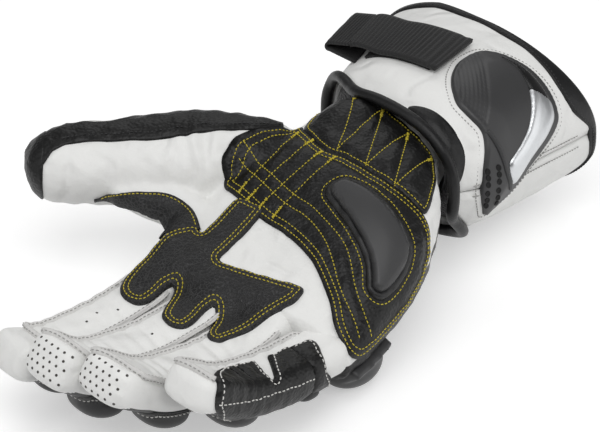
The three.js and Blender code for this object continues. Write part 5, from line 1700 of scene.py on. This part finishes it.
# Painted reflection over the upper third of the plate: deep black and glossy, standing for the dark that the
# mirror reflects there.
dark_reflection_finish = scuffed("glossy_black_painted_reflection", "#0c0c0d", "#1a1a1b", 0.14, 0.26, {"IOR": 1.5})
flat, base, n, to_edge, net = patch_on(CRESCENT, 0.7, lay_guard)
points, faces = crowned(base, n, 0.3 + 0.8 * eased(to_edge / 1.3) + 0.5 * eased(to_edge / 4), *net, 0.8)
# faces on the far side of the line, where the mirror shows dark, get the painted dark reflection
split = DARK_REFLECTION_TO - DARK_REFLECTION_FROM
side_of = np.cross(split, flat - DARK_REFLECTION_FROM) * np.sign(np.cross(split, DARK_REFLECTION_SIDE - DARK_REFLECTION_FROM))
dark = [1 if np.mean(side_of[[i % len(flat) for i in f]]) > 0 else 0 for f in faces]
made = piece("guard_plate_bright", points, faces, silver, dark_reflection_finish, finish_of=dark)
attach(made, "hand")
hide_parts("guard_plate")


# Cuff back guard.
# The guard on the back of the cuff, moulded in the same grey polyurethane and sewn on, with low ribs across
# it. It is flattened where the glove lies on it.
BACK_GUARD_FROM, BACK_GUARD_TO, BACK_GUARD_TALL = 121.5, 178.5, 10.0
station = np.linspace(BACK_GUARD_FROM, BACK_GUARD_TO, 48)[:, None]
angle = np.radians(np.linspace(241.5, 316.5, 60))[None]
u = (station - BACK_GUARD_FROM) / (BACK_GUARD_TO - BACK_GUARD_FROM)
v = (angle - angle[0, 0]) / (angle[0, -1] - angle[0, 0])
swell = np.sin(math.pi * u) ** 0.5 * np.sin(math.pi * v) ** 0.8
ribs = 0.35 * np.sin(station / 3.2 * math.pi) * eased((np.sin(math.pi * u) * np.sin(math.pi * v) - 0.1) / 0.2)
outer = cuff_point(station, angle, 0.4 + BACK_GUARD_TALL * (0.1 + 0.9 * swell) + ribs)
outer[..., 2] = np.maximum(outer[..., 2], REST_LEVEL + 0.02)
made = piece("cuff_back_guard_moulded", *shell(outer, cuff_point(station, angle, -0.5 + 0 * u)), grey_tpu)
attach(made, "hand")
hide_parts("cuff_back_guard")


# Strap.
# The closing strap: ribbed nylon webbing with a hook pad under it. It is doubled over at the thumb side,
# where it stands off the cuff in a fold, and its free end lies across the palm side.
STRAP_FROM, STRAP_TO = 126.4, 158.8
STRAP_ROOT, STRAP_END = math.radians(48), math.radians(95.0)
STRAP_TOP, STRAP_LIFT, STRAP_LIFT_FROM = 4.5, 5.0, math.radians(68)
FOLD_REACH, FOLD_SLOPE, FOLD_RADIUS, FOLD_THICK, FOLD_STEPS = 10.5, 0.24, 2.4, 1.4, 60
RIB_RISE, RIB_PITCH, RIB_WAY, RIB_SLANT = 0.3, math.radians(2.1), 1.7, 0.6
STRAP_BEND = 22.0 * np.array([0.19, -0.98, 0])

# Ribbed webbing: black nylon with a dry sheen. Its ribs are modelled, and its yarns of 0.6 mm are drawn at
# 0.8 mm.
webbing, tree, surface, tone, where = finish(
    "black_ribbed_nylon_webbing", "#070708", "#121213", {"Roughness": 0.7, "Sheen Weight": 0.08, "IOR": 1.53})
yarn = node(tree, "ShaderNodeTexVoronoi", {"Vector": where, "Scale": every(0.8), "Randomness": 0.5})
fade = node(tree, "ShaderNodeTexNoise", {"Vector": where, "Scale": every(8), "Detail": 3.0})
tree.links.new(fade.outputs["Fac"], tone)
weave = node(tree, "ShaderNodeBump", {
    "Height": yarn.outputs["Distance"], "Strength": 0.6, "Distance": 0.0004,
})
tree.links.new(weave.outputs["Normal"], surface.inputs["Normal"])
station = np.linspace(STRAP_FROM, STRAP_TO, 20)[:, None]
across = (station - STRAP_FROM) / (STRAP_TO - STRAP_FROM)
bound = eased(np.minimum(across, 1 - across) / 0.09)
angle = np.linspace(STRAP_ROOT - 0.01, STRAP_END, 170)[None]
rib = np.sin(2 * math.pi * (angle / RIB_PITCH + RIB_SLANT * across))
hem = np.exp(-((angle - STRAP_END + 0.05) / 0.02) ** 2)
drawn_up = STRAP_LIFT * eased((STRAP_LIFT_FROM - angle) / (STRAP_LIFT_FROM - STRAP_ROOT)) + 0 * station
top = STRAP_TOP + drawn_up + RIB_RISE * rib * bound - 0.25 * (1 - bound) - 0.4 * hem
flap = shell(cuff_point(station, angle, top), cuff_point(station, angle, 2.4 + drawn_up))
made = piece("cuff_strap_webbing", *flap, webbing)
# the webbing's placing is baked into its mesh; the points of a curl over 22 mm, square to the hinge, are
# worked out but not used
bend_from = cuff_point((STRAP_FROM + STRAP_TO) / 2, STRAP_ROOT, 3.0)
row(bend_from)
row(bend_from + STRAP_BEND)
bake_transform(made)
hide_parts("cuff_strap")
root_line = cuff_point(station, STRAP_ROOT - 0.012, STRAP_TOP + STRAP_LIFT)[:, 0]
inner_line = cuff_point(station, STRAP_ROOT - 0.09, 0.3)[:, 0]
reach = np.array([0.0, 1.0, -FOLD_SLOPE])
loop = [root_line + k * reach for k in np.linspace(0, FOLD_REACH, FOLD_STEPS)]
edge = loop[-1]
for t in np.radians(np.linspace(12, 180, 15)):
    loop.append(edge + reach * FOLD_RADIUS * math.sin(t) - np.array([0, 0, FOLD_RADIUS * (1 - math.cos(t))]))
edge = loop[-1]
loop += [edge * (1 - k) + inner_line * k for k in np.linspace(0.03, 1, 40)]
loop = np.array(loop).transpose(1, 0, 2)
facing = unit(np.cross(np.gradient(loop, axis=1), np.gradient(loop, axis=0)))
facing *= np.sign(facing[:1, :1, 2:])
way = np.cumsum(np.linalg.norm(np.diff(loop, axis=1, prepend=loop[:, :1]), axis=2), 1)
rib = np.sin(2 * math.pi * (way / RIB_WAY + RIB_SLANT * across))
faded = eased(way / 1.0) * eased((way[:, -1:] - way) / 3.0)
top = loop + facing * (RIB_RISE * rib * bound * faded)[..., None]
made = piece("strap_fold_webbing", *shell(top, loop - facing * FOLD_THICK), webbing)
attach(made, "hand")
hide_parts("strap_fold")
station = np.linspace(STRAP_FROM + 1.5, STRAP_TO - 1.5, 40)[:, None]
angle = np.linspace(STRAP_ROOT + 0.08, STRAP_END - 0.06, 90)[None]
pile = 1.3 + 0.35 * np.random.default_rng(7).random((40, 90))
hooks = shell(cuff_point(station, angle, pile), cuff_point(station, angle, -0.4 + 0 * pile))
made = piece("hook_pad_pile", *hooks, webbing)
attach(made, "hand")
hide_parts("hook_pad")


# Floor and light.
# A plain floor of white paper that keeps the shadow, under a large soft lamp over the palm and three
# weaker ones. The lamps stand above the glove on all sides, so that its shadow is short and soft.
FLOOR_HALF = 3.0

# Matt paper: plain diffuse under the light, with a little glow for the eye and in reflections.
floor_finish = bpy.data.materials.new("matt_white_paper")
floor_finish.use_nodes = True
tree = floor_finish.node_tree
ray = node(tree, "ShaderNodeLightPath")
lit = node(tree, "ShaderNodeBsdfDiffuse", {"Color": linear("#ededed")})
glow = node(tree, "ShaderNodeEmission", {"Color": linear("#ffffff"), "Strength": 0.42})
seen = node(tree, "ShaderNodeMath", {
    0: ray.outputs["Is Camera Ray"], 1: ray.outputs["Is Glossy Ray"],
}, operation="MAXIMUM")
both = node(tree, "ShaderNodeAddShader", {0: lit.outputs[0], 1: glow.outputs[0]})
shown = node(tree, "ShaderNodeMixShader", {0: seen.outputs[0], 1: lit.outputs[0], 2: both.outputs[0]})
tree.links.new(shown.outputs[0], tree.nodes["Material Output"].inputs["Surface"])
floor_mesh = bpy.data.meshes.new("floor")
corners = [(x * FLOOR_HALF, y * FLOOR_HALF, 0) for x, y in ((-1, -1), (1, -1), (1, 1), (-1, 1))]
floor_mesh.from_pydata(corners, [], [(0, 1, 2, 3)])
floor_mesh.materials.append(floor_finish)
floor = bpy.data.objects.new("floor", floor_mesh)
bpy.context.scene.collection.objects.link(floor)
for name, place, size, strength in (
        ("key", (-0.35, -0.25, 0.95), 0.8, 5.0),
        ("fill", (-0.9, 0.5, 0.7), 0.9, 2.4),
        ("back", (0.7, 0.5, 0.9), 0.8, 2.2),
        ("side", (0.35, -1.0, 0.45), 0.9, 3.4)):
    lamp = bpy.data.objects.new(name, bpy.data.lights.new(name, "AREA"))
    lamp.data.size = size
    lamp.data.energy = strength
    lamp.location = place
    lamp.rotation_euler = Vector(place).to_track_quat("Z", "Y").to_euler()
    bpy.context.scene.collection.objects.link(lamp)
world = bpy.data.worlds.new("studio")
bpy.context.scene.world = world
world.use_nodes = True
world.node_tree.nodes["Background"].inputs["Color"].default_value = (1, 1, 1, 1)
world.node_tree.nodes["Background"].inputs["Strength"].default_value = 0.22
bpy.context.scene.view_settings.view_transform = "Standard"
